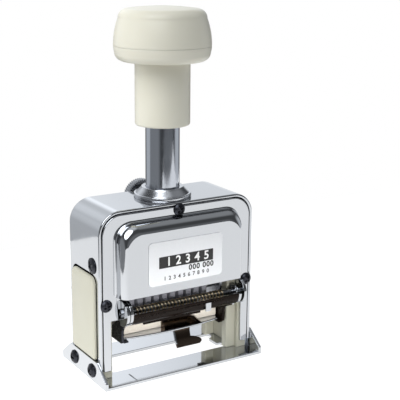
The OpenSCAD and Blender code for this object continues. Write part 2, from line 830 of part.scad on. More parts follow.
// Plate beside the wheels, with a lobe at the back for the two rods
module side_plate() {
  front_y = bridge_d / 2 - side_inset;
  difference() {
    slab_x(side_in_x, side_out_x) {
      translate([0, axle_z]) circle(side_disc_r);
      translate([-front_y, axle_z]) square([2 * front_y, bridge_low - axle_z - eps]);
      translate([0, detent_rod_z - lobe])
        square([rear_rod_y + lobe, feed_rod_z - detent_rod_z + 2 * lobe]);
    }
    rod_x(side_in_x - 1, side_out_x + 1, 0, axle_z, axle_r + fit_gap);
    rod_x(side_in_x - 1, side_out_x + 1, rear_rod_y, feed_rod_z, rod_r + fit_gap);
    rod_x(side_in_x - 1, side_out_x + 1, rear_rod_y, detent_rod_z, rod_r + fit_gap);
  }
}

module right_side_plate() color("silver") side_plate();

module left_side_plate() color("silver") mirror([1, 0, 0]) side_plate();

module wheel_axle() color("gray")
  rod_x(-side_out_x - rod_gap, side_out_x + rod_gap, 0, axle_z, axle_r);

module axle_spacer() color("dimgray") {
  difference() {
    rod_x(spacer_x, spacer_x + spacer_len, 0, axle_z, spacer_r);
    rod_x(spacer_x - 1, side_in_x + 1, 0, axle_z, axle_r + fit_gap);
  }
}

// Ratchet teeth round the X axis
module ratchet(x0, x1, teeth) {
  step = 360 / teeth;
  slab_x(x0, x1) polygon([for (i = [0:teeth - 1]) for (k = [0, 1])
    let (a = step * (i + k * tooth_share), r = ratchet_r - tooth_depth * (1 - k)) [r * cos(a), r * sin(a)]]);
}

// One wheel: a rim with ten raised faces, and a ratchet beside it
module number_wheel(i) color("dimgray") {
  x0 = wheels_x + i * wheel_pitch;
  difference() {
    union() {
      rod_x(x0, x0 + digit_w, 0, axle_z, rim_r);
      intersection() {
        rod_x(x0 + digit_inset, x0 + digit_w - digit_inset, 0, axle_z, wheel_r);
        translate([0, 0, axle_z]) for (k = [0:digit_count - 1]) rotate([360 / digit_count * k, 0, 0])
          box(x0, x0 + digit_w, -digit_pad / 2, digit_pad / 2, rim_r - 1, wheel_r + 1);
      }
      translate([0, 0, axle_z]) ratchet(x0 + digit_w - eps, x0 + wheel_w, digit_count);
    }
    rod_x(x0 - 1, x0 + wheel_w + 1, 0, axle_z, axle_r + fit_gap);
  }
}

// Plain wheel that counts the repeats
module repeat_ratchet() color("dimgray") {
  difference() {
    union() {
      rod_x(ratchet_x, ratchet_x + repeat_rim_w, 0, axle_z, rim_r);
      translate([0, 0, axle_z])
        ratchet(ratchet_x + repeat_rim_w - eps, ratchet_x + repeat_w, repeat_teeth);
    }
    rod_x(ratchet_x - 1, ratchet_x + repeat_w + 1, 0, axle_z, axle_r + fit_gap);
  }
}

module feed_rod() color("silver") rod_x(-side_out_x, side_out_x, rear_rod_y, feed_rod_z, rod_r);

module detent_rod() color("silver") rod_x(-side_out_x, side_out_x, rear_rod_y, detent_rod_z, rod_r);

// A flat finger from a rod towards the wheel axle, in the slot beside wheel i's rim
module finger(i, rod_z, angle, length) {
  x0 = finger_x + i * wheel_pitch;
  root = rod_r + fit_gap + finger_root;
  slab_x(x0, x0 + finger_w) translate([rear_rod_y, rod_z]) rotate(angle + 180)
    translate([root, -finger_t / 2]) square([length - ratchet_r - finger_gap - root, finger_t]);
}

// Comb that moves the wheels on, one finger for each wheel
module feed_comb() color("darkslategray") {
  half = side_in_x - comb_gap;
  difference() {
    union() {
      rod_x(-half, half, rear_rod_y, feed_rod_z, rod_r + sleeve_wall);
      for (i = [0:wheel_count - 1]) finger(i, feed_rod_z, feed_angle, feed_len);
    }
    rod_x(-half - 1, half + 1, rear_rod_y, feed_rod_z, rod_r + fit_gap);
  }
}

// Pawls that hold the wheels, each on its own hub
module detent_pawls() color("peru") {
  for (i = [0:wheel_count - 1]) {
    x0 = finger_x + i * wheel_pitch;
    difference() {
      union() {
        rod_x(x0, x0 + finger_w, rear_rod_y, detent_rod_z, rod_r + sleeve_wall);
        finger(i, detent_rod_z, detent_angle, detent_len);
      }
      rod_x(x0 - 1, x0 + finger_w + 1, rear_rod_y, detent_rod_z, rod_r + fit_gap);
    }
  }
}

// Coils between the detent pawls, each as a closed bush of the coil's size
module detent_springs() color("goldenrod") {
  for (i = [0:wheel_count - 1]) {
    x0 = wheels_x + i * wheel_pitch + bush_inset;
    x1 = wheels_x + i * wheel_pitch + digit_w - bush_inset;
    difference() {
      rod_x(x0, x1, rear_rod_y, detent_rod_z, rod_r + bush_wall);
      rod_x(x0 - 1, x1 + 1, rear_rod_y, detent_rod_z, rod_r + fit_gap);
    }
  }
}

// Front lower quarter of a disc round the pivot, which the arms' heads share with the trough
module head_quarter(r) {
  intersection() {
    circle(r);
    translate([-r - 1, -r - 1]) square([r + 1 + quarter_back, r + 1 + quarter_up]);
  }
}

// Inward ledge at an arm's foot, which carries the tray
module arm_ledge() {
  box(arm_in_x - ledge_w, arm_in_x + eps, arm_front_y, arm_back_y, ledge_low, ledge_low + ledge_t);
}

// Left arm: one flat plate, with a round head on the rod
module left_pad_arm() color("silver") mirror([1, 0, 0]) {
  difference() {
    union() {
      slab_x(arm_in_x, arm_out_x) {
        translate([-pivot_y, pivot_z]) circle(arm_head_r);
        polygon([[arm_front_y, ledge_low], [arm_back_y, ledge_low], [arm_back_y, arm_back_low],
          arm_notch, [-pivot_y + arm_head_r * 0.9, pivot_z - 0.5],
          [-pivot_y - 1, pivot_z - arm_head_r + 0.1], [arm_front_y, arm_front_top]]);
      }
      arm_ledge();
    }
    rod_x(arm_in_x - 1, arm_out_x + 1, -pivot_y, pivot_z, pivot_rod_r + fit_gap);
  }
}

// Right arm: its foot is like the left one's, and a web under the trough leads out to its head
module right_pad_arm() color("silver") {
  web_y = -pivot_y + web_gap;
  difference() {
    union() {
      slab_x(arm_in_x, arm_out_x)
        polygon([[arm_front_y, ledge_low], [arm_back_y, ledge_low], [arm_back_y, arm_back_low],
          arm_notch, [web_y + web_d, web_top], [web_y, web_top], [web_y, web_top - web_t],
          [arm_front_y, arm_front_top]]);
      box(arm_in_x, head_in_x + arm_t, web_y, web_y + web_d, web_top - web_t, web_top);
      slab_x(head_in_x, head_in_x + arm_t) {
        translate([-pivot_y, pivot_z]) {
          head_quarter(arm_head_r);
          circle(hub_r);
        }
        translate([web_y, web_top - web_t]) square([web_d, pivot_z - web_top + web_t]);
      }
      arm_ledge();
    }
    rod_x(head_in_x - 1, head_in_x + arm_t + 1, -pivot_y, pivot_z, pivot_rod_r + fit_gap);
  }
}

// Trough between the arms' heads, round the front and underside of the spring
module pad_bar() color("black") {
  r = arm_head_r;
  low_z = pivot_z - r;
  notch_x = arm_in_x - bar_notch_end;
  difference() {
    translate([0, -pivot_y, pivot_z]) slab_x(-arm_in_x, head_in_x) difference() {
      head_quarter(r);
      circle(r - bar_wall);
    }
    box(notch_x - bar_notch_w, notch_x, -pivot_y - r - 1, -pivot_y - bar_wall,
      low_z + bar_notch_low, pivot_z - bar_notch_top);
  }
  box(-arm_in_x + bar_tab_ends[0], arm_in_x - bar_tab_ends[1],
    -pivot_y + bar_tab_y[0], -pivot_y + bar_tab_y[1], low_z - bar_tab_low, low_z + bar_wall);
}

// Pan under the felt, with a bulging front edge and a raised scoop
module pad_tray() color("silver") {
  bulge = [for (i = [0:12]) let (t = i / 6 - 1) [t * tray_x, tray_front_y - tray_bulge * (1 - t * t)]];
  translate([0, 0, tray_low]) linear_extrude(tray_t)
    polygon(concat([[tray_x, tray_back_y], [-tray_x, tray_back_y]], bulge));
  slab_x(-scoop_w / 2, scoop_w / 2)
    translate([-felt_d / 2 - scoop_gap - scoop_r - scoop_edge, tray_low + tray_t - eps])
      difference() {
        square([scoop_r + scoop_edge, scoop_r]);
        translate([0, scoop_r + scoop_foot]) circle(scoop_r);
      }
}

module ink_pad() color("linen")
  box(-felt_x, felt_x, -felt_d / 2, felt_d / 2, felt_low, felt_top);

// Bent strip under the tray's front edge, flared at its foot
module pull_tab() color("silver") {
  neck_x = -tab_neck_w / 2 + tab_shift;
  neck_end = neck_x + tab_neck_w;
  top_y = tray_front_y - tray_bulge + tab_inset;
  foot_y = top_y - tab_t - tab_reach;
  neck_low = tray_low - tab_neck_h;
  bend_z = neck_low + 0.4;
  foot_low = neck_low - tab_foot_h;
  flare = [for (i = [0:8]) let (a = 90 * i / 8)
    [neck_x + tab_foot_w - (tab_foot_w - tab_neck_w) * cos(a) * (1 - sin(a) * 0.4),
      neck_low - (tab_foot_h - 0.2) * sin(a)]];
  slab_y(top_y - tab_t, top_y) translate([neck_x, neck_low - eps])
    square([tab_neck_w, tab_neck_h + eps]);
  intersection() {
    slab_y(foot_y, top_y) polygon(concat(
      [[neck_x, bend_z], [neck_end, bend_z]], flare,
      [[neck_x + tab_foot_w - 2, foot_low - 1], [neck_x, foot_low - 1]]
    ));
    slab_x(neck_x, neck_x + tab_foot_w + 1) polygon([
      [top_y, bend_z], [top_y - tab_t, bend_z], [foot_y, foot_low],
      [foot_y + 0.3, foot_low - tab_t], [top_y, neck_low - 1]
    ]);
  }
}

// Knurled dial on the back that sets the repeats
module repeat_dial() color("gray") {
  difference() {
    rod_y(dial_y, dial_y + dial_t, dial_x, dial_z, dial_r);
    rod_y(dial_y - 1, dial_y + dial_t + 1, dial_x, dial_z, shaft_r + fit_gap);
    translate([dial_x, dial_y - 1, dial_z])
      for (i = [0:dial_grooves - 1]) rotate([0, 360 / dial_grooves * i, 0])
        translate([dial_r, 0, 0]) rotate([0, 45, 0]) cube([dial_groove, dial_t + 2, dial_groove]);
  }
}

// The dial's shaft, with a head that holds the dial
module dial_shaft() color("silver") {
  head_y = dial_y + dial_t + rod_gap;
  rod_y(collar_bush_r + shaft_gap, head_y, dial_x, dial_z, shaft_r);
  rod_y(head_y - eps, head_y + shaft_head_h, dial_x, dial_z, shaft_head_r);
}

base_plate();
outer_shell();
front_plate();
back_plate();
left_guide();
right_guide();
head_block();
collar();
label_plate();
front_screws();
back_screws();
side_screws();
base_screws();
pad_pivot_rod();
pad_return_spring();
spring_bar();
spring_seat();
return_spring();
plunger_tube();
tube_plug();
knob_cap();
knob_base();
handle_sleeve();
carriage_bridge();
left_side_plate();
right_side_plate();
wheel_axle();
axle_spacer();
for (i = [1:wheel_count]) number_wheel(i - 1);
repeat_ratchet();
feed_rod();
feed_comb();
detent_rod();
detent_pawls();
detent_springs();
left_pad_arm();
right_pad_arm();
pad_bar();
pad_tray();
ink_pad();
pull_tab();
repeat_dial();
dial_shaft();
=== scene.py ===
# %% [markdown]
# # A desk numbering machine, finished in Blender
#
# The machine is a chromed box on a flat base, with a cream knob on a plunger. Pressing the knob
# pushes a row of number wheels through a window in the base and swings the ink pad out of the way.
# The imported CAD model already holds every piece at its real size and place. This lesson models the
# surfaces that the eye lands on again, with rounded edges and real finishes, and leaves the motion
# to the CAD bodies.

# %% Load the frame
import math

import bpy
from mathutils import Matrix, Vector


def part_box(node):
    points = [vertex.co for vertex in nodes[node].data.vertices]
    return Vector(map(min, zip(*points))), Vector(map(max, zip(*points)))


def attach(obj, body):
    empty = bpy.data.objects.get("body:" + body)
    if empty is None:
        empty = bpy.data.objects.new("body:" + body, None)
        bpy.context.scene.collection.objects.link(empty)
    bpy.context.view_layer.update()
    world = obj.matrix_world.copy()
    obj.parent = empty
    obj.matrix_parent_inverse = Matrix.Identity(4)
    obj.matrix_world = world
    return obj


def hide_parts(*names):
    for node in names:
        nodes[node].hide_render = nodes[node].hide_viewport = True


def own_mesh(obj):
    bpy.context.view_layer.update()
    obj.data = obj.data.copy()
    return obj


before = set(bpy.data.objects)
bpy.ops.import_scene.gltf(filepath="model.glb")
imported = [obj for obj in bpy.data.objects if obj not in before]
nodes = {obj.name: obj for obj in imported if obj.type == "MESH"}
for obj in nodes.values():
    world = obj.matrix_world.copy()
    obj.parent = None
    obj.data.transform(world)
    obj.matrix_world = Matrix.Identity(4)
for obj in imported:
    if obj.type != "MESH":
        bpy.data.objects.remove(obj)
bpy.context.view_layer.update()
MM = 0.001

# %% [markdown]
# ## Sizes
#
# A box round a CAD node gives its lowest and highest corner. Most sizes below are read from such
# boxes, in millimetres, so that a piece made here lands where the CAD piece is. What a box can't
# tell, such as a wall, a hood's foot or an edge's roundness, is given as a number.


# %% Read the boxes
def span(node, axis):
    """Lowest and highest value of a node along an axis, in millimetres."""
    low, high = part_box(node)
    return low["XYZ".index(axis)] / MM, high["XYZ".index(axis)] / MM


half_w = span("outer_shell", "X")[1]
half_d = span("outer_shell", "Y")[1]
shell_top = span("outer_shell", "Z")[1]
base_half_w = span("base_plate", "X")[1]
base_half_d = span("base_plate", "Y")[1]
ear_top = span("base_plate", "Z")[1]
knob_low, seam_z = span("knob_base", "Z")
knob_high = span("knob_cap", "Z")[1]
knob_r = span("knob_cap", "X")[1]
sleeve_low = span("handle_sleeve", "Z")[0]
sleeve_r = span("handle_sleeve", "X")[1]
tube_r = span("plunger_tube", "X")[1]
collar_r = span("collar", "X")[1]
collar_low, collar_top = span("collar", "Z")
hood_face = -span("front_plate", "Y")[0]
axle_z = sum(span("wheel_axle", "Z")) / 2
wheel_r = span("number_wheel_1", "Z")[1] - axle_z
pivot_y = sum(span("pad_pivot_rod", "Y")) / 2
pivot_z = sum(span("pad_pivot_rod", "Z")) / 2
sheet = 1.2
bore_r = tube_r + 0.05
print("shell", 2 * half_w, "x", 2 * half_d, "x", shell_top, "mm; knob top", round(knob_high, 1))

# %% [markdown]
# ## Drawing by extruding a point
#
# Almost every piece of this machine is either pressed from sheet or turned on a lathe. Both start
# from a line: an outline for the sheet and half a section for the turned piece. A plane merged to
# one point and then extruded again and again draws such a line, just as by hand.


# %% Draw a line
def fresh():
    """Object mode, nothing selected."""
    if bpy.context.object and bpy.context.object.mode != "OBJECT":
        bpy.ops.object.mode_set(mode="OBJECT")
    bpy.ops.object.select_all(action="DESELECT")


def chain(name, points):
    """A new object with one line through the points, left in edit mode."""
    fresh()
    bpy.ops.mesh.primitive_plane_add(size=MM)
    piece = bpy.context.object
    piece.name = piece.data.name = name
    bpy.ops.object.mode_set(mode="EDIT")
    bpy.ops.mesh.merge(type="CENTER")
    spots = [Vector(p) * MM for p in points]
    bpy.ops.transform.translate(value=spots[0])
    for a, b in zip(spots, spots[1:]):
        bpy.ops.mesh.extrude_vertices_move(TRANSFORM_OT_translate={"value": b - a})
    return piece


def close_up(piece):
    """Merges doubled points and turns every face outwards."""
    bpy.ops.mesh.select_all(action="SELECT")
    bpy.ops.mesh.remove_doubles(threshold=1e-7)
    bpy.ops.mesh.normals_make_consistent(inside=False)
    bpy.ops.object.mode_set(mode="OBJECT")
    return piece


def place(axis, a, b, along):
    """A point from two coordinates across an axis and one along it."""
    return {"X": (along, a, b), "Y": (a, along, b), "Z": (a, b, along)}[axis]


def slab(name, outline, low, high, axis):
    """A plate with that outline, from low to high along the axis."""
    chain(name, [place(axis, a, b, low) for a, b in outline])
    bpy.ops.mesh.select_all(action="SELECT")
    bpy.ops.mesh.edge_face_add()
    step = Vector(place(axis, 0, 0, high - low)) * MM
    bpy.ops.mesh.extrude_region_move(TRANSFORM_OT_translate={"value": step})
    return close_up(bpy.context.object)


def rect(a0, b0, a1, b1):
    """The corners of a rectangle."""
    return [(a0, b0), (a1, b0), (a1, b1), (a0, b1)]


def turned(name, profile, axis="Z", centre=(0, 0), steps=96):
    """Spins (radius, height) points round an axis."""
    a, b = centre
    across = {"X": (0, 1), "Y": (1, 0), "Z": (1, 0)}[axis]
    points = [place(axis, a + r * across[0], b + r * across[1], h) for r, h in profile]
    chain(name, points)
    bpy.ops.mesh.select_all(action="SELECT")
    middle = Vector(place(axis, a, b, 0)) * MM
    bpy.ops.mesh.spin(steps=steps, angle=2 * math.pi, center=middle, axis=place(axis, 0, 0, 1))
    return close_up(bpy.context.object)


def arc(a, b, r, start, end, count=10):
    """Points on an arc round (a, b), angles in degrees."""
    turns = [math.radians(start + (end - start) * i / count) for i in range(count + 1)]
    return [(a + r * math.cos(t), b + r * math.sin(t)) for t in turns]


# %% [markdown]
# ## Cutting, joining and softening
#
# Holes are cut with Boolean modifiers. Pressed and moulded edges are never sharp, and a bright
# line along each edge is what tells the eye so, which a small Bevel gives. Weighted normals then
# keep the flat faces looking flat, which matters most on chrome.


# %% Modifiers that are applied at once
def apply(piece, kind, **settings):
    """Adds a modifier with its settings and applies it."""
    fresh()
    bpy.context.view_layer.objects.active = piece
    piece.select_set(True)
    modifier = piece.modifiers.new(kind, kind)
    for key, value in settings.items():
        setattr(modifier, key, value)
    bpy.ops.object.modifier_apply(modifier=modifier.name)


def combine(piece, tool, operation="DIFFERENCE"):
    """Cuts the tool from the piece, or welds it on."""
    apply(piece, "BOOLEAN", operation=operation, object=tool, solver="EXACT")
    bpy.data.objects.remove(tool, do_unlink=True)
    return piece


def drill(piece, radius, low, high, axis="Z", centre=(0, 0), steps=32):
    """Cuts a round hole along an axis, from low to high."""
    bit = turned("drill", [(0, low), (radius, low), (radius, high), (0, high)], axis, centre, steps)
    return combine(piece, bit)


def smooth(piece, degrees=35):
    """Smooth shading, except over edges sharper than that."""
    fresh()
    bpy.context.view_layer.objects.active = piece
    piece.select_set(True)
    bpy.ops.object.shade_smooth_by_angle(angle=math.radians(degrees))
    apply(piece, "WEIGHTED_NORMAL", keep_sharp=True)
    return piece


def soften(piece, width, segments=2, degrees=35):
    """Rounds the sharp edges by a width in millimetres."""
    apply(piece, "BEVEL", width=width * MM, segments=segments, limit_method="ANGLE",
        angle_limit=math.radians(degrees), use_clamp_overlap=False)
    return smooth(piece, degrees + 5)


def join(name, pieces):
    """One object from several, each still a closed shell of its own."""
    fresh()
    for piece in pieces:
        piece.select_set(True)
    bpy.context.view_layer.objects.active = pieces[0]
    bpy.ops.object.join()
    pieces[0].name = pieces[0].data.name = name
    return pieces[0]


def copy(piece, matrix):
    """A copy with its own mesh, moved by a matrix."""
    twin = piece.copy()
    twin.data = piece.data.copy()
    bpy.context.scene.collection.objects.link(twin)
    twin.data.transform(matrix)
    if matrix.determinant() < 0:
        twin.data.flip_normals()
    return twin


def shift(x=0, y=0, z=0):
    return Matrix.Translation(Vector((x, y, z)) * MM)


def turn(degrees, axis, x=0, y=0, z=0):
    """A turn about an axis through a point."""
    here = shift(x, y, z)
    return here @ Matrix.Rotation(math.radians(degrees), 4, axis) @ here.inverted()


flip_x = Matrix.Diagonal((-1, 1, 1, 1))

# %% [markdown]
# ## Materials
#
# Each finish starts from what the real one is. Colours are written as the hex values that a paint
# chart would give, and one function turns them into Blender's linear values. A second small
# function adds a node with its settings and links. Patterns read Object coordinates, which are
# metres here, so a scale of 1 / size gives a pattern of that size.


# %% Helpers for nodes and materials
def linear(code):
    """Linear RGBA from a hex colour."""
    parts = [int(code[i:i + 2], 16) / 255 for i in (1, 3, 5)]
    return tuple(c / 12.92 if c <= 0.04045 else ((c + 0.055) / 1.055) ** 2.4 for c in parts) + (1,)


def add(tree, kind, inputs, **settings):
    """A new node: settings on the node, values and links on its inputs."""
    node = tree.nodes.new(kind)
    for key, value in settings.items():
        setattr(node, key, value)
    for socket, value in inputs.items():
        if isinstance(value, bpy.types.NodeSocket):
            tree.links.new(value, node.inputs[socket])
        else:
            node.inputs[socket].default_value = value
    return node


def finish(name, colour, **values):
    """A material with a Principled shader, and where its patterns are read."""
    material = bpy.data.materials.new(name)
    material.use_nodes = True
    tree = material.node_tree
    shader = tree.nodes["Principled BSDF"]
    shader.inputs["Base Color"].default_value = linear(colour)
    for socket, value in values.items():
        shader.inputs[socket.replace("_", " ")].default_value = value
    where = add(tree, "ShaderNodeTexCoord", {}).outputs["Object"]
    return material, tree, shader, where


def per_mm(size):
    """Texture scale of a pattern of that size in millimetres."""
    return 1 / (size * MM)


# %% [markdown]
# ### Bright chrome
#
# The shell, plates, arms and tray are pressed steel with a bright chrome plate, and the tube and
# the collar have the same plate over drawing and lathe marks. Chrome is a slightly blue mirror
# that gives back rather more than half of the light. Plating over pressed sheet is never optically
# flat, so a faint, slow bump makes the reflections swim, and handling leaves a haze that varies
# over some ten millimetres. The pull tab and the scoop are the same chrome, painted dark brown as
# a painted dark reflection. Dull nickel and ground steel differ from chrome in colour and haze
# alone.


# %% Chrome plate on pressed steel
def chrome(name, colour, haze):
    material, tree, shader, where = finish(name, colour, Metallic=1.0)
    cloud = add(tree, "ShaderNodeTexNoise", {"Vector": where, "Scale": per_mm(9), "Detail": 4.0})
    wipe = add(tree, "ShaderNodeMapping", {"Vector": where, "Scale": (1, 1, 0.12)})
    lines = add(tree, "ShaderNodeTexNoise", {"Vector": wipe.outputs[0], "Scale": per_mm(0.25),
        "Detail": 2.0})
    both = add(tree, "ShaderNodeMath", {0: cloud.outputs["Fac"], 1: lines.outputs["Fac"]},
        operation="MULTIPLY")
    rough = add(tree, "ShaderNodeMapRange", {"Value": both.outputs[0], "From Min": 0.1,
        "From Max": 0.5, "To Min": haze * 0.5, "To Max": haze * 1.8})
    tree.links.new(rough.outputs[0], shader.inputs["Roughness"])
    swim = add(tree, "ShaderNodeTexNoise", {"Vector": where, "Scale": per_mm(6), "Detail": 1.0})
    bump = add(tree, "ShaderNodeBump", {"Height": swim.outputs["Fac"], "Strength": 0.035,
        "Distance": 0.25 * MM})
    tree.links.new(bump.outputs[0], shader.inputs["Normal"])
    return material


chrome_plate = chrome("chrome_plate_on_pressed_steel", "#C6C8CB", 0.06)
turned_plate = chrome("chrome_plate_over_lathe_marks", "#C8CACE", 0.20)
drawn_plate = chrome("chrome_plate_on_drawn_tube", "#C0C4CB", 0.11)
# Chrome for the pull tab and the scoop, painted dark brown: a painted dark reflection.
chrome_painted_dark_reflection = chrome("chrome_plate_painted_dark_reflection", "#64564B", 0.15)
nickel_plate = chrome("dull_nickel_plate_on_zinc_casting", "#A4A6AA", 0.22)
ground_steel = chrome("ground_steel_bar", "#9EA0A4", 0.28)

# %% [markdown]
# ### Cream mouldings
#
# The knob, the sleeve and the guides are injection-moulded ABS in a warm cream. The mould's fine
# spark-eroded grain is too small to see at this distance, so it is drawn at 0.35 mm, and it breaks
# the gloss up. A very slight change of tone over the moulding stands for flow and handling.


# %% Moulded ABS
def moulded(name, colour, shade, gloss):
    material, tree, shader, where = finish(name, colour, Metallic=0.0, IOR=1.53)
    shader.inputs["Subsurface Weight"].default_value = 0.08
    shader.inputs["Subsurface Radius"].default_value = (1.2 * MM, 1.0 * MM, 0.7 * MM)
    shader.inputs["Subsurface Scale"].default_value = 1.0
    flow = add(tree, "ShaderNodeTexNoise", {"Vector": where, "Scale": per_mm(14), "Detail": 3.0})
    tone = add(tree, "ShaderNodeMix", {"Factor": flow.outputs["Fac"], "A": linear(colour),
        "B": linear(shade)}, data_type="RGBA")
    tree.links.new(tone.outputs["Result"], shader.inputs["Base Color"])
    grain = add(tree, "ShaderNodeTexNoise", {"Vector": where, "Scale": per_mm(0.35), "Detail": 2.0})
    rough = add(tree, "ShaderNodeMapRange", {"Value": grain.outputs["Fac"], "To Min": gloss - 0.06,
        "To Max": gloss + 0.06})
    tree.links.new(rough.outputs[0], shader.inputs["Roughness"])
    bump = add(tree, "ShaderNodeBump", {"Height": grain.outputs["Fac"], "Strength": 0.12,
        "Distance": 0.02 * MM})
    tree.links.new(bump.outputs[0], shader.inputs["Normal"])
    return material


cream_abs = moulded("moulded_abs_cream", "#DCD9CB", "#D5D2C1", 0.34)
# The guides are the same cream as the knob. This copy is painted darker all over, as painted shade.
shaded_cream_abs = moulded("moulded_abs_cream_painted_shade", "#B4B2A3", "#ACAA9A", 0.40)

# %% [markdown]
# ### Dark metals
#
# The screws are black-oxide steel: a thin black skin that still shines like metal on its dome. The
# number wheels are engraved steel, blackened and carrying old ink, but their colour is painted much
# lighter than that, as painted light for the shade inside the machine. The trough under the long
# spring is dipped in black enamel.


# %% Blackened steel and enamel
def blackened(name, colour, worn, gloss, size, metal):
    material, tree, shader, where = finish(name, colour, Metallic=metal)
    patch = add(tree, "ShaderNodeTexNoise", {"Vector": where, "Scale": per_mm(size), "Detail": 5.0,
        "Roughness": 0.65})
    tone = add(tree, "ShaderNodeMix", {"Factor": patch.outputs["Fac"], "A": linear(colour),
        "B": linear(worn)}, data_type="RGBA")
    tree.links.new(tone.outputs["Result"], shader.inputs["Base Color"])
    rough = add(tree, "ShaderNodeMapRange", {"Value": patch.outputs["Fac"], "From Min": 0.3,
        "From Max": 0.7, "To Min": gloss, "To Max": gloss + 0.2})
    tree.links.new(rough.outputs[0], shader.inputs["Roughness"])
    bump = add(tree, "ShaderNodeBump", {"Height": patch.outputs["Fac"], "Strength": 0.15,
        "Distance": 0.05 * MM})
    tree.links.new(bump.outputs[0], shader.inputs["Normal"])
    return material


# Black oxide on the screws; the same material on the left arm's chrome foot is painted shade.
black_oxide_and_painted_shade = blackened("black_oxide_screw_steel_and_painted_shade", "#26272B", "#45464C", 0.20, 1.2, 0.9)
# Both wheel tones are painted light: far paler than blackened steel, standing in for light that
# doesn't reach inside.
wheel_steel_painted_light = blackened("engraved_wheel_steel_painted_light", "#8C8C94", "#B4B4BC", 0.36, 2.0, 0.45)
black_enamel = blackened("black_dipped_enamel", "#0D0907", "#1D1510", 0.2, 3.0, 0.0)
black_enamel.node_tree.nodes["Principled BSDF"].inputs["Specular IOR Level"].default_value = 0.08

# %% [markdown]
# ### Drawn wire, felt and label
#
# Brass wire is drawn through a die, which leaves fine lines round it. Felt is matted wool: soft,
# matt and faintly furry. The label is a thin sheet with a satin print coat.


# %% Brass wire
brass_wire, tree, shader, where = finish("drawn_brass_wire", "#D2B98C", Metallic=1.0)
drawn = add(tree, "ShaderNodeTexNoise", {"Vector": where, "Scale": per_mm(0.3), "Detail": 3.0})
rough = add(tree, "ShaderNodeMapRange", {"Value": drawn.outputs["Fac"], "To Min": 0.16,
    "To Max": 0.42})
tree.links.new(rough.outputs[0], shader.inputs["Roughness"])
tarnish = add(tree, "ShaderNodeTexNoise", {"Vector": where, "Scale": per_mm(4), "Detail": 3.0})
tone = add(tree, "ShaderNodeMix", {"Factor": tarnish.outputs["Fac"], "A": linear("#EFE4CC"),
    "B": linear("#C2A677")}, data_type="RGBA")
tree.links.new(tone.outputs["Result"], shader.inputs["Base Color"])

# %% Wool felt
wool_felt, tree, shader, where = finish("pressed_wool_felt", "#E9E2D4", Roughness=0.95)
shader.inputs["Sheen Weight"].default_value = 0.35
shader.inputs["Sheen Roughness"].default_value = 0.6
fibre = add(tree, "ShaderNodeTexNoise", {"Vector": where, "Scale": per_mm(0.45), "Detail": 6.0,
    "Roughness": 0.7, "Distortion": 1.5})
tone = add(tree, "ShaderNodeMix", {"Factor": fibre.outputs["Fac"], "A": linear("#F7F0E4"),
    "B": linear("#E3D9C8")}, data_type="RGBA")
tree.links.new(tone.outputs["Result"], shader.inputs["Base Color"])
bump = add(tree, "ShaderNodeBump", {"Height": fibre.outputs["Fac"], "Strength": 0.5,
    "Distance": 0.12 * MM})
tree.links.new(bump.outputs[0], shader.inputs["Normal"])

# %% Label print coat and ink
label_coat, tree, shader, where = finish("satin_coated_label_sheet", "#DFE0E1", Roughness=0.38)
shader.inputs["Coat Weight"].default_value = 0.25
shader.inputs["Coat Roughness"].default_value = 0.2
paper = add(tree, "ShaderNodeTexNoise", {"Vector": where, "Scale": per_mm(0.6), "Detail": 3.0})
tone = add(tree, "ShaderNodeMix", {"Factor": paper.outputs["Fac"], "A": linear("#E2E3E4"),
    "B": linear("#DBDCDE")}, data_type="RGBA")
tree.links.new(tone.outputs["Result"], shader.inputs["Base Color"])


def printed(name, colour, worn):
    material, tree, shader, where = finish(name, colour, Roughness=0.45)
    speck = add(tree, "ShaderNodeTexNoise", {"Vector": where, "Scale": per_mm(0.5), "Detail": 3.0})
    tone = add(tree, "ShaderNodeMix", {"Factor": speck.outputs["Fac"], "A": linear(colour),
        "B": linear(worn)}, data_type="RGBA")
    tree.links.new(tone.outputs["Result"], shader.inputs["Base Color"])
    return material


black_ink = printed("screen_printed_black_ink", "#1B1A1A", "#262423")
white_ink = printed("screen_printed_white_ink", "#EDEDEB", "#E2E2E0")


# %% A way to seat a finished piece
def seat(piece, material, body, slot, *replaced):
    """Gives a piece its material, its CAD body and the nodes it stands for. The slot is not used."""
    piece.data.materials.clear()
    piece.data.materials.append(material)
    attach(piece, body)
    if replaced:
        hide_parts(*replaced)
    print(piece.name, "on", body, "with", len(piece.data.polygons), "faces")
    return piece


# %% [markdown]
# ## The knob
#
# The knob is two mouldings that meet at a parting line about a quarter of the way up. Both are
# round, so each is one line spun round the plunger's axis. The upper one is a shallow dome with a
# soft shoulder. A hairline groove, 0.08 mm deep, marks where they meet.

# %% Knob profile
groove = 0.08
crown_r = 12.6
crown_drop = 0.8
shoulder_drop = 4.2
side_top = knob_high - shoulder_drop


def knob_side(z):
    """Radius of the knob's bulging side."""
    reach = 23 if z > seam_z else 11.5
    return knob_r * math.sqrt(1 - ((z - seam_z) / reach) ** 2)


shoulder = [(crown_r + (knob_side(side_top) - crown_r) * math.sin(t),
    knob_high - crown_drop - (shoulder_drop - crown_drop) * (1 - math.cos(t)))
    for t in [math.radians(90 * i / 16) for i in range(17)]]
rise = [(knob_side(z), z) for z in [seam_z + 0.35 + (side_top - seam_z - 0.35) * i / 12
    for i in range(12)]]
dome = [(crown_r * i / 6, knob_high - crown_drop * (i / 6) ** 2.4) for i in range(6)]
socket = span("tube_plug", "Z")[1] + 0.5
cap_line = dome + shoulder + rise[::-1] + [(knob_r - 0.05, seam_z + 0.1),
    (knob_r - groove, seam_z + 0.02), (bore_r, seam_z + 0.02), (bore_r, socket), (0, socket)]

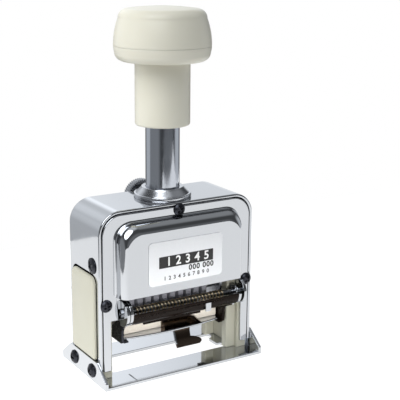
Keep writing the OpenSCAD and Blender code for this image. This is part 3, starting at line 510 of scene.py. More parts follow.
# %% Knob cap, knob base and sleeve
knob_cap = smooth(turned("knob_cap_moulding", cap_line, steps=128), 40)
lip = 3.2
flat_r = knob_r - 4
under = [(flat_r + (knob_side(knob_low + lip) - flat_r) * math.sin(t),
    knob_low + lip * (1 - math.cos(t))) for t in [math.radians(90 * i / 10) for i in range(11)]]
base_line = [(bore_r, knob_low)] + under + [(knob_side(seam_z - 1.2), seam_z - 1.2),
    (knob_r - 0.03, seam_z - 0.25), (knob_r - groove, seam_z - 0.05), (bore_r, seam_z - 0.05),
    (bore_r, knob_low)]
knob_base = smooth(turned("knob_base_moulding", base_line, steps=128), 40)
edge = [(sleeve_r - 0.9 + 0.9 * math.sin(t), sleeve_low + 0.9 * (1 - math.cos(t)))
    for t in [math.radians(90 * i / 8) for i in range(9)]]
sleeve_line = [(bore_r, sleeve_low)] + edge + [(sleeve_r, knob_low - 0.2),
    (sleeve_r - 0.15, knob_low - 0.02), (bore_r, knob_low - 0.02), (bore_r, sleeve_low)]
sleeve = smooth(turned("handle_sleeve_moulding", sleeve_line), 40)
seat(knob_cap, cream_abs, "plunger", "cream_plastic", "knob_cap")
seat(knob_base, cream_abs, "plunger", "cream_plastic", "knob_base")
seat(sleeve, cream_abs, "plunger", "cream_plastic", "handle_sleeve")

# %% [markdown]
# ## Tube and collar
#
# The plunger tube is drawn steel with two slots near its lower end, where the fixed spring bar
# passes through. The collar is turned: a thin upright rim, then a stepped cone up to the tube.

# %% Plunger tube
tube_low, tube_high = span("plunger_tube", "Z")
inner_r = tube_r - 0.8
tube_line = [(inner_r, tube_low), (tube_r - 0.15, tube_low), (tube_r, tube_low + 0.15),
    (tube_r, tube_high - 0.15), (tube_r - 0.15, tube_high), (inner_r, tube_high),
    (inner_r, tube_low)]
tube = turned("plunger_tube_drawn", tube_line)
bar_low, bar_high = span("spring_bar", "Z")
travel = 18
slot_half = 1.8
gap = 0.3
slot = slab("slot", rect(-slot_half, bar_low - gap, slot_half, bar_high + travel + gap), -8, 8, "X")
smooth(combine(tube, slot), 30)
seat(tube, drawn_plate, "plunger", "chrome", "plunger_tube")

# %% Collar
neck = tube_r + 1.3
rim_top = shell_top + 1.5
bush_r = 8
collar_line = [(bore_r, collar_low), (bush_r, collar_low), (bush_r, shell_top),
    (collar_r - 0.1, shell_top)] + arc(collar_r - 0.35, shell_top + 0.4, 0.35, -60, 0, 4)
collar_line += arc(collar_r - 0.4, rim_top - 0.4, 0.4, 0, 90, 5) + [(collar_r - 0.8, rim_top),
    (collar_r - 1.0, rim_top + 0.25)]
collar_line += [(neck + 0.75, collar_top - 0.75)]
collar_line += arc(neck - 0.1, collar_top - 0.5, 0.5, 30, 90, 5)
collar_line += [(bore_r + 0.15, collar_top), (bore_r, collar_top - 0.15), (bore_r, collar_low)]
collar = smooth(turned("collar_turned", collar_line, steps=128), 30)
seat(collar, turned_plate, "frame", "chrome", "collar")

# %% [markdown]
# ## The shell
#
# One strip of sheet, bent twice, makes the roof and both sides. Its outline seen from the front is
# an arch, extruded from front to back. A window in each side lets a cream guide stand out. It runs
# down behind the base's ear, and its rim is rounded where the press cut it.

# %% Outer shell
corner = 8.5
inner_x = half_w - sheet


def arch(half, low, high, r, count=14):
    """An upright outline with rounded upper corners, open between its lower ends."""
    return ([(half, low)] + arc(half - r, high - r, r, 0, 90, count)
        + arc(-half + r, high - r, r, 90, 180, count) + [(-half, low)])


strip = arch(half_w, sheet, shell_top, corner)
strip += arch(inner_x, sheet, shell_top - sheet, corner - sheet)[::-1]
shell = slab("outer_shell_bent", strip, -half_d, half_d, "Y")
panel_half, panel_head, panel_r = 9.2, 40.3, 3
leg_lift = 4.3
leg_from = 10.2
right_through = (-40, 40)
window = slab("window", arch(panel_half + gap, -1, panel_head + gap, panel_r, 10), *right_through,
    "X")
combine(shell, window)
for side in (-1, 1):
    near, far = sorted((side * leg_from, side * 20))
    combine(shell, slab("foot", rect(near, 0, far, leg_lift), *right_through, "X"))
drill(shell, bush_r + 0.05, 50, 80, steps=64)
soften(shell, 0.55, 4)
seat(shell, chrome_plate, "frame", "chrome", "outer_shell")

# %% [markdown]
# ## Front and back plates with their hoods
#
# A hood is pressed out of the plate. Its rounded shoulder is a quarter of an ellipse, and at its
# foot the sheet turns back into the plate through a small concave fillet. The outline is drawn
# once and extruded in small steps, each scaled a little towards the hood's lower middle. Solidify
# then gives the sheet its thickness.

# %% The hood
fillet = 0.9
hood_half = 26.3
side_inset = 2.8
top_inset = 3.7
hood_r = 6


def hood(name, low, high, face_y, plate_y):
    """A pressed hood that stands out along -Y, open below."""
    start = arch(hood_half + fillet, low, high + fillet, hood_r + fillet)
    piece = chain(name, [(x, plate_y, z) for x, z in start])
    bpy.ops.mesh.select_all(action="SELECT")
    size = [hood_half + fillet, high + fillet - low]
    depth = plate_y - face_y
    steps = []
    for i in range(1, 7):
        t = math.radians(15 * i)
        spare = fillet * (1 - math.sin(t))
        steps.append((hood_half + spare, high - low + spare, fillet * (1 - math.cos(t))))
    for i in range(1, 17):
        t = math.radians(90 * i / 16)
        steps.append((hood_half - side_inset * (1 - math.cos(t)),
            high - low - top_inset * (1 - math.cos(t)), fillet + (depth - fillet) * math.sin(t)))
    out = 0
    for half, tall, reach in steps:
        step = (0, (out - reach) * MM, 0)
        bpy.ops.mesh.extrude_edges_move(TRANSFORM_OT_translate={"value": step})
        bpy.ops.transform.resize(value=(half / size[0], 1, tall / size[1]),
            center_override=(0, (plate_y - reach) * MM, low * MM))
        size, out = [half, tall], reach
    bpy.ops.mesh.edge_face_add()
    bpy.ops.mesh.select_all(action="SELECT")
    bpy.ops.mesh.normals_make_consistent(inside=False)
    bpy.ops.object.mode_set(mode="OBJECT")
    largest = max(piece.data.polygons, key=lambda face: face.area)
    if largest.normal.y > 0:
        piece.data.flip_normals()
    apply(piece, "SOLIDIFY", thickness=sheet * MM, offset=-1, use_even_offset=True)
    return soften(piece, 0.3, 2, 50)


front_low = 32.5
front_high = 59.7
front_hood = hood("front_hood", front_low, front_high, -hood_face, -half_d)
print("hood stands", round(hood_face - half_d, 2), "mm proud")

# %% The flat sheet round a hood
throat_left = 24.4
throat_right = 27.75
throat_low = 23.6
leg_x = inner_x - 3.4
plate_half = inner_x - 0.3
plate_top = shell_top - sheet - 0.3
left_up = [(-plate_half, leg_lift)] + [(-x, z) for x, z in arc(plate_half - corner + sheet,
    plate_top - corner + sheet, corner - sheet, 0, 90, 14)]
right_down = [(-x, z) for x, z in reversed(left_up)]
opening_half = hood_half - 0.4


def leg_step(across, step_x, step_z, hood_low):
    """The inner edge of one leg, from its foot up to the hood."""
    return [(across * leg_x, leg_lift), (across * leg_x, step_z), (across * step_x, step_z),
        (across * step_x, hood_low)]


def flat_sheet(name, left_x, right_x, step_z, hood_low, hood_high):
    """The plate's flat part, open below and under the hood."""
    line = left_up + right_down + leg_step(1, right_x, step_z, hood_low)
    line += arch(opening_half, hood_low, hood_high - 0.4, hood_r - 0.4)
    line += leg_step(-1, left_x, step_z, hood_low)[::-1]
    line = [p for p, q in zip(line, line[1:] + line[:1]) if math.dist(p, q) > 1e-6]
    return slab(name, line, -half_d, -half_d + sheet, "Y")


front_sheet = flat_sheet("front_sheet", throat_left, throat_right, throat_low, front_low,
    front_high)
pivot = (pivot_y, pivot_z)
drill(front_sheet, 1.8, -throat_left - 0.9, -throat_left + 0.1, "X", pivot)
soften(front_sheet, 0.35, 3)

# %% [markdown]
# Two lugs bent forward from the plate carry the pad's pivot rod. Each has a round nose about the
# rod, and they are seen nearly edge-on beside the wheels.

# %% Pivot lugs
lug_r = 4.9
rod_hole_r = 1.05
lug_back = -half_d + sheet
lugs = []
for outer in (-throat_left + sheet, throat_right):
    nose = arc(pivot_y, pivot_z, lug_r, 270, 90, 20)
    lug = slab("lug", nose + [(lug_back, pivot_z + lug_r), (lug_back, pivot_z - lug_r)],
        outer - sheet, outer, "X")
    lugs.append(soften(drill(lug, rod_hole_r, outer - 3, outer + 1, "X", pivot), 0.2, 2))
front_plate = join("front_plate_pressed", [front_sheet, front_hood] + lugs)
seat(front_plate, chrome_plate, "frame", "chrome", "front_plate")

# %% Back plate
back_low = 24
back_high = 52
back_hood = hood("back_hood", back_low, back_high, -hood_face, -half_d)
back_sheet = flat_sheet("back_sheet", leg_x, leg_x, back_low, back_low, back_high)
soften(back_sheet, 0.25, 2)
back_plate = join("back_plate_pressed", [back_sheet, back_hood])
back_plate.data.transform(Matrix.Rotation(math.pi, 4, "Z"))
seat(back_plate, chrome_plate, "frame", "chrome", "back_plate")

# %% [markdown]
# ## The base
#
# The base is one blank with a window punched in it and an ear bent up at each side. The window's
# corners are round, with a short tongue at each end. A scribed line near the front lets the user
# line the print up.

# %% Base plate
window_half_w = 26
window_half_d = 7.2
window_r = 1.7
tongue_x = window_half_w - 2.8
tongue_half = 3
corner_up = arc(window_half_w - window_r, window_half_d - window_r, window_r, 90, -60, 10)
tongue_up = [(tongue_x + 1.6, tongue_half)] + arc(tongue_x + 1, tongue_half - 1, 1, 90, 180, 6)
quarter = corner_up + tongue_up
right_end = quarter + [(x, -y) for x, y in reversed(quarter)]
window_line = right_end + [(-x, y) for x, y in reversed(right_end)]
deck = slab("deck", rect(-half_w - 0.3, -base_half_d, half_w + 0.3, base_half_d), 0, sheet, "Z")
combine(deck, slab("punch", window_line, -1, 3, "Z"))
combine(deck, slab("scribe", rect(-21.15, -17.8, -20.85, -11.6), sheet - 0.25, 3, "Z"))
ear_line = [(-base_half_d, 0), (base_half_d, 0), (base_half_d, 2.8), (11.2, ear_top - 0.1),
    (11, ear_top), (-11, ear_top), (-11.2, ear_top - 0.1), (-base_half_d, 2.8)]
for side in (-1, 1):
    low, high = sorted((side * half_w, side * base_half_w))
    ear = slab("ear", ear_line, low, high, "X")
    combine(deck, ear, "UNION")
soften(deck, 0.2, 2)
deck.name = "base_plate_bent"
seat(deck, chrome_plate, "frame", "chrome", "base_plate")

# %% [markdown]
# ## Guides
#
# Each guide is one cream moulding. Outside, a rounded panel fills the shell's side window. Inside,
# two rails form the channel that the carriage's shoe runs in. The left guide is the right one's
# mirror image, but its front rail stops short of the opening between the legs.

# %% Guides
rail_x, panel_x = span("right_guide", "X")
guide_top = span("right_guide", "Z")[1]
wall_x = 27.6
wall_half = half_d - 1.25
rail_in, rail_out = 6.0, 9.2
wall = slab("wall", rect(-wall_half, sheet, wall_half, guide_top), wall_x, inner_x - 0.05, "X")
soften(wall, 0.3, 2)


def guide_rail(side, low):
    """One upright rail, in front or behind, from a height up."""
    a, b = sorted((side * rail_in, side * rail_out))
    return soften(slab("rail", rect(a, low, b, guide_top), rail_x, wall_x + 0.4, "X"), 0.35, 3)


panel_line = arch(panel_half, ear_top + gap, panel_head, panel_r, 10)
panel = slab("panel", panel_line, inner_x - 0.5, panel_x, "X")
soften(panel, 0.8, 4)
right_guide = join("right_guide_moulding", [wall, panel, guide_rail(1, sheet)])
left_guide = copy(join("left", [copy(right_guide, shift()), guide_rail(-1, throat_low)]), flip_x)
bpy.data.objects.remove(bpy.data.objects["left"], do_unlink=True)
left_guide.name = left_guide.data.name = "left_guide_moulding"
right_guide = join("right_guide_moulding", [right_guide, guide_rail(-1, sheet)])
# The guides' darker cream is painted shade.
seat(right_guide, shaded_cream_abs, "frame", "panel_plastic", "right_guide")
seat(left_guide, shaded_cream_abs, "frame", "panel_plastic", "left_guide")

# %% [markdown]
# ## Screws
#
# Each head is a shallow dome with a cross recess. One of each size is modelled at the origin,
# pointing up, and copies are turned and moved to where the CAD has them.


# %% A cross-head screw
def screw(name, head_r, length, high=1.5):
    """A domed head on a brim, with a cross recess and a plain shank, pointing up."""
    brim = 0.3
    rise = high - brim
    ball = (head_r ** 2 + rise ** 2) / (2 * rise)
    flat = math.asin(head_r / ball)
    crown = [(ball * math.sin(flat * i / 8), high - ball + ball * math.cos(flat * i / 8))
        for i in range(9)]
    line = crown + [(head_r, brim - 0.12), (head_r - 0.12, 0), (1.0, 0), (1.0, -length),
        (0, -length)]
    head = turned(name, line, steps=48)
    wide, thick = head_r * 0.6, head_r * 0.17
    for turned_by in (0, 90):
        bar = slab("bar", rect(-wide, -thick, wide, thick), max(0.3, high - 0.9), high + 1, "Z")
        bar.data.transform(Matrix.Rotation(math.radians(turned_by), 4, "Z"))
        combine(head, bar)
    apply(head, "BEVEL", width=0.18 * MM, segments=2, limit_method="ANGLE",
        angle_limit=math.radians(50))
    return smooth(head, 40)


small = screw("small_screw", 2.35, 6)
ear_screw = screw("ear_screw", 2.65, 6)
side_screw = screw("side_screw", 3, 5, 1.0)
to_front = Matrix.Rotation(math.radians(90), 4, "X")
to_back = Matrix.Rotation(math.radians(-90), 4, "X")
to_right = Matrix.Rotation(math.radians(90), 4, "Y")
to_left = Matrix.Rotation(math.radians(-90), 4, "Y")


def screws(name, head, spots, node):
    """Copies of a head at (position, direction, twist) spots, as one object."""
    made = []
    for (x, y, z), way, twist in spots:
        made.append(copy(head, shift(x, y, z) @ way @ Matrix.Rotation(math.radians(twist), 4, "Z")))
    return seat(join(name, made), black_oxide_and_painted_shade, "frame", "black_screw", node)


plate_x, plate_z = 30.4, 30
screws("front_screws_black", small, [((-plate_x, -half_d, plate_z), to_front, 20),
    ((plate_x, -half_d, plate_z), to_front, 52), ((0, -half_d, 62.1), to_front, 38)],
    "front_screws")
upper_x, upper_z = 21, 60.2
screws("back_screws_black", small, [((-plate_x, half_d, plate_z), to_back, 10),
    ((plate_x, half_d, plate_z), to_back, 33), ((-upper_x, half_d, upper_z), to_back, 61),
    ((upper_x, half_d, upper_z), to_back, 5)], "back_screws")
side_y, side_z = -6.7, 44.1
screws("side_screws_black", side_screw, [((half_w, side_y, side_z), to_right, 12),
    ((-half_w, side_y, side_z), to_left, 30)], "side_screws")
ear_y, ear_z = 7.4, 4.1
screws("ear_screws_black", ear_screw, [((base_half_w, -ear_y, ear_z), to_right, 25),
    ((base_half_w, ear_y, ear_z), to_right, 70), ((-base_half_w, -ear_y, ear_z), to_left, 40),
    ((-base_half_w, ear_y, ear_z), to_left, 8)], "base_screws")
for spare in (small, ear_screw, side_screw):
    bpy.data.objects.remove(spare, do_unlink=True)

# %% [markdown]
# ## Label
#
# The label is a thin plate with round corners. Its print is generic: plain figures, as on a
# counter, white in a black band and black in two rows below it.

# %% Label plate
label_half_w, label_half_h, label_r = 15.7, 8.25, 1.5
label_z = sum(span("label_plate", "Z")) / 2
face_y, label_y = -span("label_plate", "Y")[1], -span("label_plate", "Y")[0]


def rounded(half_a, half_b, r, middle):
    """A rectangle with round corners, its middle at that height."""
    a, b = half_a - r, half_b - r
    return (arc(a, middle + b, r, 0, 90, 6) + arc(-a, middle + b, r, 90, 180, 6)
        + arc(-a, middle - b, r, 180, 270, 6) + arc(a, middle - b, r, 270, 360, 6))


label = slab("label_sheet", rounded(label_half_w, label_half_h, label_r, label_z), -label_y,
    -face_y, "Y")
soften(label, 0.1, 2)
seat(label, label_coat, "frame", "label_metal", "label_plate")

# %% Print on the label
ink = 0.02
band = slab("label_band", rounded(11.6, 2.2, 0.2, label_z + 0.35), -label_y - ink, -label_y, "Y")
seat(band, black_ink, "frame", "label_metal")


def figures(body, size, deep, curve=3, spread=1.0, bold=0.0):
    """Plain figures as a mesh, centred on the origin and facing up."""
    fresh()
    bpy.ops.object.text_add()
    text = bpy.context.object.data
    text.body = body
    text.size = size * MM
    text.align_x = text.align_y = "CENTER"
    text.extrude = deep * MM
    text.resolution_u = curve
    text.space_character = spread
    text.offset = bold * MM
    bpy.ops.object.convert(target="MESH")
    return bpy.context.object


def line_of_type(name, body, size, x, z, spread, bold, material, out):
    """One line of figures on the label, centred on x and z."""
    line = figures(body, size, ink / 2, 4, spread, bold)
    line.name = line.data.name = name
    line.data.transform(shift(x, -label_y - out * ink, z) @ to_front)
    return seat(line, material, "frame", "label_metal")


line_of_type("label_figures_large", "12345", 4.6, 0.6, label_z + 0.3, 1.75, 0.09, white_ink, 1.5)
line_of_type("label_figures_middle", "000 000", 2.9, 6.4, label_z - 3.3, 1.15, 0.1, black_ink, 0.5)
line_of_type("label_figures_small", "1234567890", 2.1, 0.1, label_z - 5.9, 1.95, 0.05, black_ink,
    0.5)

# %% [markdown]
# ## Number wheels
#
# Each wheel has ten raised digits round its rim and a ratchet beside it. The digits are real type:
# they stand 0.5 mm off small pads and print the right way round, so the wheel shows them mirrored.
# One wheel is modelled and copied along the axle.

# %% One wheel
first_lo, first_hi = span("number_wheel_1", "X")
pitch = span("number_wheel_2", "X")[0] - first_lo
rim_w = 2.3
rim_r = wheel_r - 0.8
axle_r = 2.05
wheel = turned("wheel", [(axle_r, first_lo), (rim_r - 0.2, first_lo), (rim_r, first_lo + 0.2),
    (rim_r, first_lo + rim_w - 0.2), (rim_r - 0.2, first_lo + rim_w), (7.0, first_lo + rim_w),
    (axle_r, first_lo + rim_w), (axle_r, first_lo)], "X", (0, axle_z), 80)
smooth(wheel, 30)
pieces = [wheel]
pad_half = 2.15
under_rim = axle_z - rim_r
for digit in range(10):
    pad = slab("pad", rect(-pad_half, under_rim - 0.3, pad_half, under_rim + 0.6), first_lo + 0.15,
        first_lo + rim_w - 0.15, "X")
    soften(pad, 0.1, 2)
    sign = figures(str(digit), 3.6, 0.25)
    sign.data.transform(shift(first_lo + rim_w / 2, 0, under_rim - 0.54)
        @ Matrix.Diagonal((0.85, 1, 1, 1)))
    spin_to = turn(36 * digit, "X", 0, 0, axle_z)
    for part in (pad, sign):
        part.data.transform(spin_to)
        pieces.append(part)


def toothed(name, low, high, outer, teeth):
    """A saw-toothed ratchet disc on the wheel axle."""
    line = []
    for i in range(teeth):
        start = 360 / teeth * i
        for k, r in ((0, outer - 0.9), (0.92, outer)):
            t = math.radians(start + 360 / teeth * k)
            line.append((r * math.cos(t), axle_z + r * math.sin(t)))
    disc = slab(name, line, low, high, "X")
    return soften(drill(disc, axle_r, low - 1, high + 1, "X", (0, axle_z), 48), 0.06, 1)


ratchet_r = 7.4
pieces.append(toothed("ratchet", first_lo + rim_w + 0.01, first_hi, ratchet_r, 10))
wheel = join("number_wheel", pieces)
print("one wheel has", len(wheel.data.polygons), "faces")

# %% Nine wheels, each a turn further round
for i in range(9):
    twin = copy(wheel, shift(pitch * i) @ turn(36 * ((7 * i) % 10), "X", 0, 0, axle_z))
    twin.name = twin.data.name = f"number_wheel_engraved_{i + 1}"
    # The wheels' pale grey is painted light.
    seat(twin, wheel_steel_painted_light, f"wheel_{i + 1}", "wheel_metal", f"number_wheel_{i + 1}")
bpy.data.objects.remove(wheel, do_unlink=True)

# %% Repeat wheel
plain_lo, plain_hi = span("repeat_ratchet", "X")
plain_w = 2.2
plain = turned("plain", [(axle_r, plain_lo), (rim_r - 0.2, plain_lo), (rim_r, plain_lo + 0.2),
    (rim_r, plain_lo + plain_w - 0.2), (rim_r - 0.2, plain_lo + plain_w),
    (axle_r, plain_lo + plain_w), (axle_r, plain_lo)], "X", (0, axle_z), 80)
smooth(plain, 30)
repeat = join("repeat_wheel_turned", [plain,
    toothed("fine", plain_lo + plain_w + 0.01, plain_hi, ratchet_r, 24)])
seat(repeat, wheel_steel_painted_light, "repeat_wheel", "wheel_metal", "repeat_ratchet")

# %% [markdown]
# ## Ink pad, its arms and its spring
#
# The pad hangs on two arms from the pivot rod, so that it can swing forward as the wheels come
# down. Their heads are chromed. The left foot is chrome as well, but it is given the screws' black
# oxide as painted shade; the right foot is black. A long brass coil round the rod brings the pad
# back, and a black trough under the coil joins the arms.


# %% Arms
arm_t = 1.2
arm_lo = 21.7
head_r = 4.8
head_lo = throat_right - sheet - 1.1 - arm_t
tray_low, tray_high = 13.5, 14.3
arm_front = [(-12.3, 20.9), (-10.1, 19.2), (-9.4, 17.6)] + arc(-8.6, 13.5, 0.8, 180, 270, 4)
arm_back = arc(5.2, 13.5, 0.8, 270, 360, 4) + [(6, 15.8), (1.5, 16.7), (-2.5, 18.4)]


def ledge(side):
    """The inward ledge at an arm's foot, which the tray lies on."""
    low, high = sorted((side * (arm_lo - 1.8), side * (arm_lo + 0.1)))
    return soften(slab("ledge", rect(-9.4, 12.7, 6, 13.45), low, high, "X"), 0.15, 2)


left_line = arc(pivot_y, pivot_z, head_r, 10, 235, 26) + [arm_front[0], (-5.6, 21.4), (-7.4, 24.4)]
head = slab("left_pad_arm_head", left_line, -arm_lo - arm_t, -arm_lo, "X")
drill(head, rod_hole_r, -arm_lo - 2, -arm_lo + 1, "X", pivot)
seat(soften(head, 0.2, 3), chrome_plate, "pad_arms", "chrome", "left_pad_arm")
shin = slab("shin", arm_front + arm_back + [(-5.6, 21.35)], -arm_lo - arm_t + 0.05, -arm_lo - 0.05,
    "X")
left_foot = join("left_pad_arm_foot", [soften(shin, 0.2, 3), ledge(-1)])
# The left foot is chrome; the black oxide on it is painted shade.
seat(left_foot, black_oxide_and_painted_shade, "pad_arms", "chrome", "left_pad_arm")

# %% [markdown]
# The right arm's foot is like the left one's, but its head stands further out, beside the right
# lug. A web under the trough's end leads from one to the other.

# %% Right arm
web_low, web_top = pivot_z - head_r - 1.1, pivot_z - head_r - 0.1
web_y0, web_y1 = pivot_y + 0.2, pivot_y + 2.8
foot = slab("foot", [(-10.4, 19.5)] + arm_front[2:] + arm_back + [(web_y1, web_top),
    (web_y0, web_top), (web_y0, web_low)], arm_lo, arm_lo + arm_t, "X")
soften(foot, 0.2, 3)
web = slab("web", rect(web_y0, web_low, web_y1, web_top), arm_lo + 0.05, head_lo + arm_t, "X")
soften(web, 0.2, 2)
cheek_line = arc(pivot_y, pivot_z, head_r, 177, 270, 16) + [(web_y0, web_low), (web_y1, web_low),
    (web_y1, pivot_z)] + arc(pivot_y, pivot_z, 2.6, 10, 170, 14)
cheek = slab("cheek", cheek_line, head_lo, head_lo + arm_t, "X")
drill(cheek, rod_hole_r, head_lo - 1, head_lo + arm_t + 1, "X", pivot)
seat(soften(cheek, 0.2, 3), chrome_plate, "pad_arms", "chrome", "right_pad_arm")
cheek.name = cheek.data.name = "right_pad_arm_cheek"
right_foot = join("right_pad_arm_foot", [foot, web, ledge(1)])
seat(right_foot, black_enamel, "pad_arms", "black_steel", "right_pad_arm")

# %% Trough
trough_line = arc(pivot_y, pivot_z, head_r, 176, 276, 18)
trough_line += arc(pivot_y, pivot_z, head_r - 0.8, 276, 176, 18)
trough = slab("trough", trough_line, -arm_lo + 0.02, head_lo - 0.02, "X")
notch_line = rect(pivot_y - head_r - 1, pivot_z - 4.4, pivot_y - 0.8, pivot_z - 0.6)
combine(trough, slab("notch", notch_line, 8.9, 11.7, "X"))
soften(trough, 0.2, 2)
tail_z = pivot_z - head_r
tail = slab("tail", rect(pivot_y - 0.6, tail_z - 1.1, pivot_y + 0.3, tail_z + 0.7), -15.5, 9.3, "X")
soften(tail, 0.2, 2)
seat(join("pad_bar_enamelled", [trough, tail]), black_enamel, "pad_arms", "black_steel", "pad_bar")
tongue_y = pivot_y - head_r + 0.5
tongue = slab("pad_bar_tongue", rect(tongue_y - 0.4, pivot_z - 4.2, tongue_y, pivot_z - 0.8), 9.1,
    11.5, "X")
soften(tongue, 0.1, 2)
seat(tongue, chrome_plate, "pad_arms", "chrome")

# %% Long return coil
def coil(name, wire_r, mean_r, turns, length, spot):
    """A wire wound up the Z axis by the Screw modifier, then taken to its spot."""
    fresh()
    bpy.ops.mesh.primitive_circle_add(vertices=10, radius=wire_r * MM, fill_type="NGON")
    piece = bpy.context.object
    piece.name = piece.data.name = name
    piece.data.transform(Matrix.Translation((mean_r * MM, 0, 0)) @ to_front)
    apply(piece, "SCREW", axis="Z", angle=2 * math.pi, iterations=turns, steps=20, render_steps=20,
        screw_offset=length / turns * MM, use_merge_vertices=False)
    piece.data.transform(spot)
    bpy.context.view_layer.objects.active = piece
    bpy.ops.object.mode_set(mode="EDIT")
    close_up(piece)
    return smooth(piece, 60)


spring_half = span("pad_return_spring", "X")[1] - 0.3
pad_coil = coil("pad_return_coil", 0.3, 1.35, 26, 2 * spring_half,
    shift(-spring_half, pivot_y, pivot_z) @ to_right)
seat(pad_coil, brass_wire, "frame", "spring_brass", "pad_return_spring")

# %% [markdown]
# The plunger's own spring stands inside the tube, between the fixed seat and the plug. On the
# real machine, when the knob goes down 18 mm, the coil closes up towards its seat by the same
# 18 mm; here it is drawn at rest.

# %% Plunger spring
wire = 0.45
spring_low, spring_high = span("return_spring", "Z")
free_length = spring_high - spring_low
plunger_coil = coil("plunger_return_coil", wire, span("return_spring", "X")[1] - wire, 18,
    free_length - 2 * wire, shift(0, 0, spring_low + wire))
seat(plunger_coil, ground_steel, "frame", "spring_steel", "return_spring")
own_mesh(plunger_coil)
print("spring", round(free_length, 1), "mm at rest,", round(free_length - travel, 1), "mm pressed")

# %% [markdown]
# ## Tray and pull tab
#
# The tray is a shallow chromed pan whose front edge bulges forward. The pull tab hangs from that
# edge: a narrow neck that leans forward and flares into a foot for the fingertip.

# %% Tray
tray_half = 21.5
tray_front, tray_bulge, tray_back = -7.9, 2.0, 6.3
lip = [(tray_half * (i / 12 - 1), tray_front - tray_bulge * (1 - (i / 12 - 1) ** 2))
    for i in range(25)]
pan = slab("pan", lip + [(tray_half, tray_back), (-tray_half, tray_back)], tray_low, tray_high, "Z")
soften(pan, 0.3, 3)

# %% [markdown]
# The scoop in front of the felt is a hollow that rises to the felt's face. It starts abruptly on
# the left and runs out slowly to the right, so its section is drawn once and extruded to the right
# in steps, each scaled to the scoop's height there.

# %% Scoop
scoop_r = 3.2
scoop_back = -span("ink_pad", "Y")[1] - 0.4
scoop_deep = 3.4
hollow = [(scoop_back - 0.35 - (scoop_deep - 0.35) * math.sin(t),
    tray_high - 0.15 + (scoop_r + 0.1) * (1 - math.sin(t)) * math.cos(t) ** 0.35)
    for t in [math.radians(8.5 * i) for i in range(11)]]
section = [(scoop_back, tray_high - 0.15), (scoop_back, tray_high + scoop_r - 0.05)] + hollow
scoop = chain("scoop", [(-4.2, y, z) for y, z in section])
bpy.ops.mesh.select_all(action="SELECT")
bpy.ops.mesh.edge_face_add()
heights = [0.8, 0.94, 1.0, 1.0, 1.0, 1.0, 1.0, 1.0, 0.99, 0.96, 0.9, 0.8, 0.64, 0.42, 0.16]
widths = [0.3, 0.5, 1.2, 1.7, 1.7, 1.7, 1.5, 1.5, 1.4, 1.2, 1.1, 1.0, 0.9, 0.8, 0.7]
bpy.ops.transform.resize(value=(1, 1, heights[0]), center_override=(0, 0, tray_high * MM))
for before, after, wide in zip(heights, heights[1:], widths):
    bpy.ops.mesh.extrude_region_move(TRANSFORM_OT_translate={"value": (wide * MM, 0, 0)})
    bpy.ops.transform.resize(value=(1, 1, after / before), center_override=(0, 0, tray_high * MM))
close_up(scoop)
smooth(scoop, 50)
scoop.name = scoop.data.name = "pad_tray_scoop"
pan.name = pan.data.name = "pad_tray_pressed"
seat(pan, chrome_plate, "ink_drawer", "chrome", "pad_tray")
# The scoop's dark brown is a painted reflection on chrome.
seat(scoop, chrome_painted_dark_reflection, "ink_drawer", "chrome", "pad_tray")

# %% Pull tab
tab_lo, tab_hi = span("pull_tab", "X")
tab_back = span("pull_tab", "Y")[1]
tab_t = 0.8
neck_w = 7
neck_share = 0.5
neck_drop, foot_drop = 3.2, 2.6
neck_out, foot_out = 1.2, 2.4
widest = 0.66
rows = []
for i in range(25):
    t = i / 24
    bend = max(0, (t - neck_share) / (1 - neck_share))
    neck = min(1, t / neck_share)
    drop = neck_drop * neck + foot_drop * bend ** 0.9
    out = neck_out * neck ** 1.5 + foot_out * bend
    off = (bend - widest) / (widest if bend < widest else 0.6)
    left = tab_lo + 1.2 - 0.6 * t
    wide = neck_w + (tab_hi - left - neck_w) * math.sqrt(max(0, 1 - off ** 2)) ** 1.5
    rows.append((left, left + wide, tab_back - tab_t / 2 - out, tray_low - drop))
tab = chain("pull_tab_bent", [(rows[0][0], rows[0][2], rows[0][3]), (rows[0][1], rows[0][2],
    rows[0][3])])
bpy.ops.mesh.select_all(action="SELECT")
for before, after in zip(rows, rows[1:]):
    step = (after[0] - before[0], after[2] - before[2], after[3] - before[3])
    bpy.ops.mesh.extrude_edges_move(TRANSFORM_OT_translate={"value": Vector(step) * MM})
    bpy.ops.transform.resize(value=((after[1] - after[0]) / (before[1] - before[0]), 1, 1),
        center_override=(after[0] * MM, 0, 0))
bpy.ops.mesh.select_all(action="SELECT")
bpy.ops.mesh.normals_make_consistent(inside=False)
bpy.ops.object.mode_set(mode="OBJECT")
apply(tab, "SOLIDIFY", thickness=tab_t * MM, offset=0)
soften(tab, 0.15, 2, 50)
flange = slab("pull_tab_flange", [(tab_back - 0.5, tray_low), (tab_back - 1.3, tray_low),
    (tab_back - 2.5, tray_low - 3.2), (tab_back - 3.6, tray_low - 4.6),
    (tab_back - 2.2, tray_low - 4.2)], tab_lo + 0.6, tab_lo + 1.2, "X")
seat(soften(flange, 0.12, 2), chrome_plate, "ink_drawer", "chrome", "pull_tab")
# The tab's dark brown is a painted reflection on chrome.
seat(tab, chrome_painted_dark_reflection, "ink_drawer", "chrome", "pull_tab")

# %% [markdown]
# ## Felt pad
#
# The pad is a block of wool felt. Its top edges are rounded by use and its faces are never quite
# flat, so the block is divided finely and every point is nudged by a smooth noise.

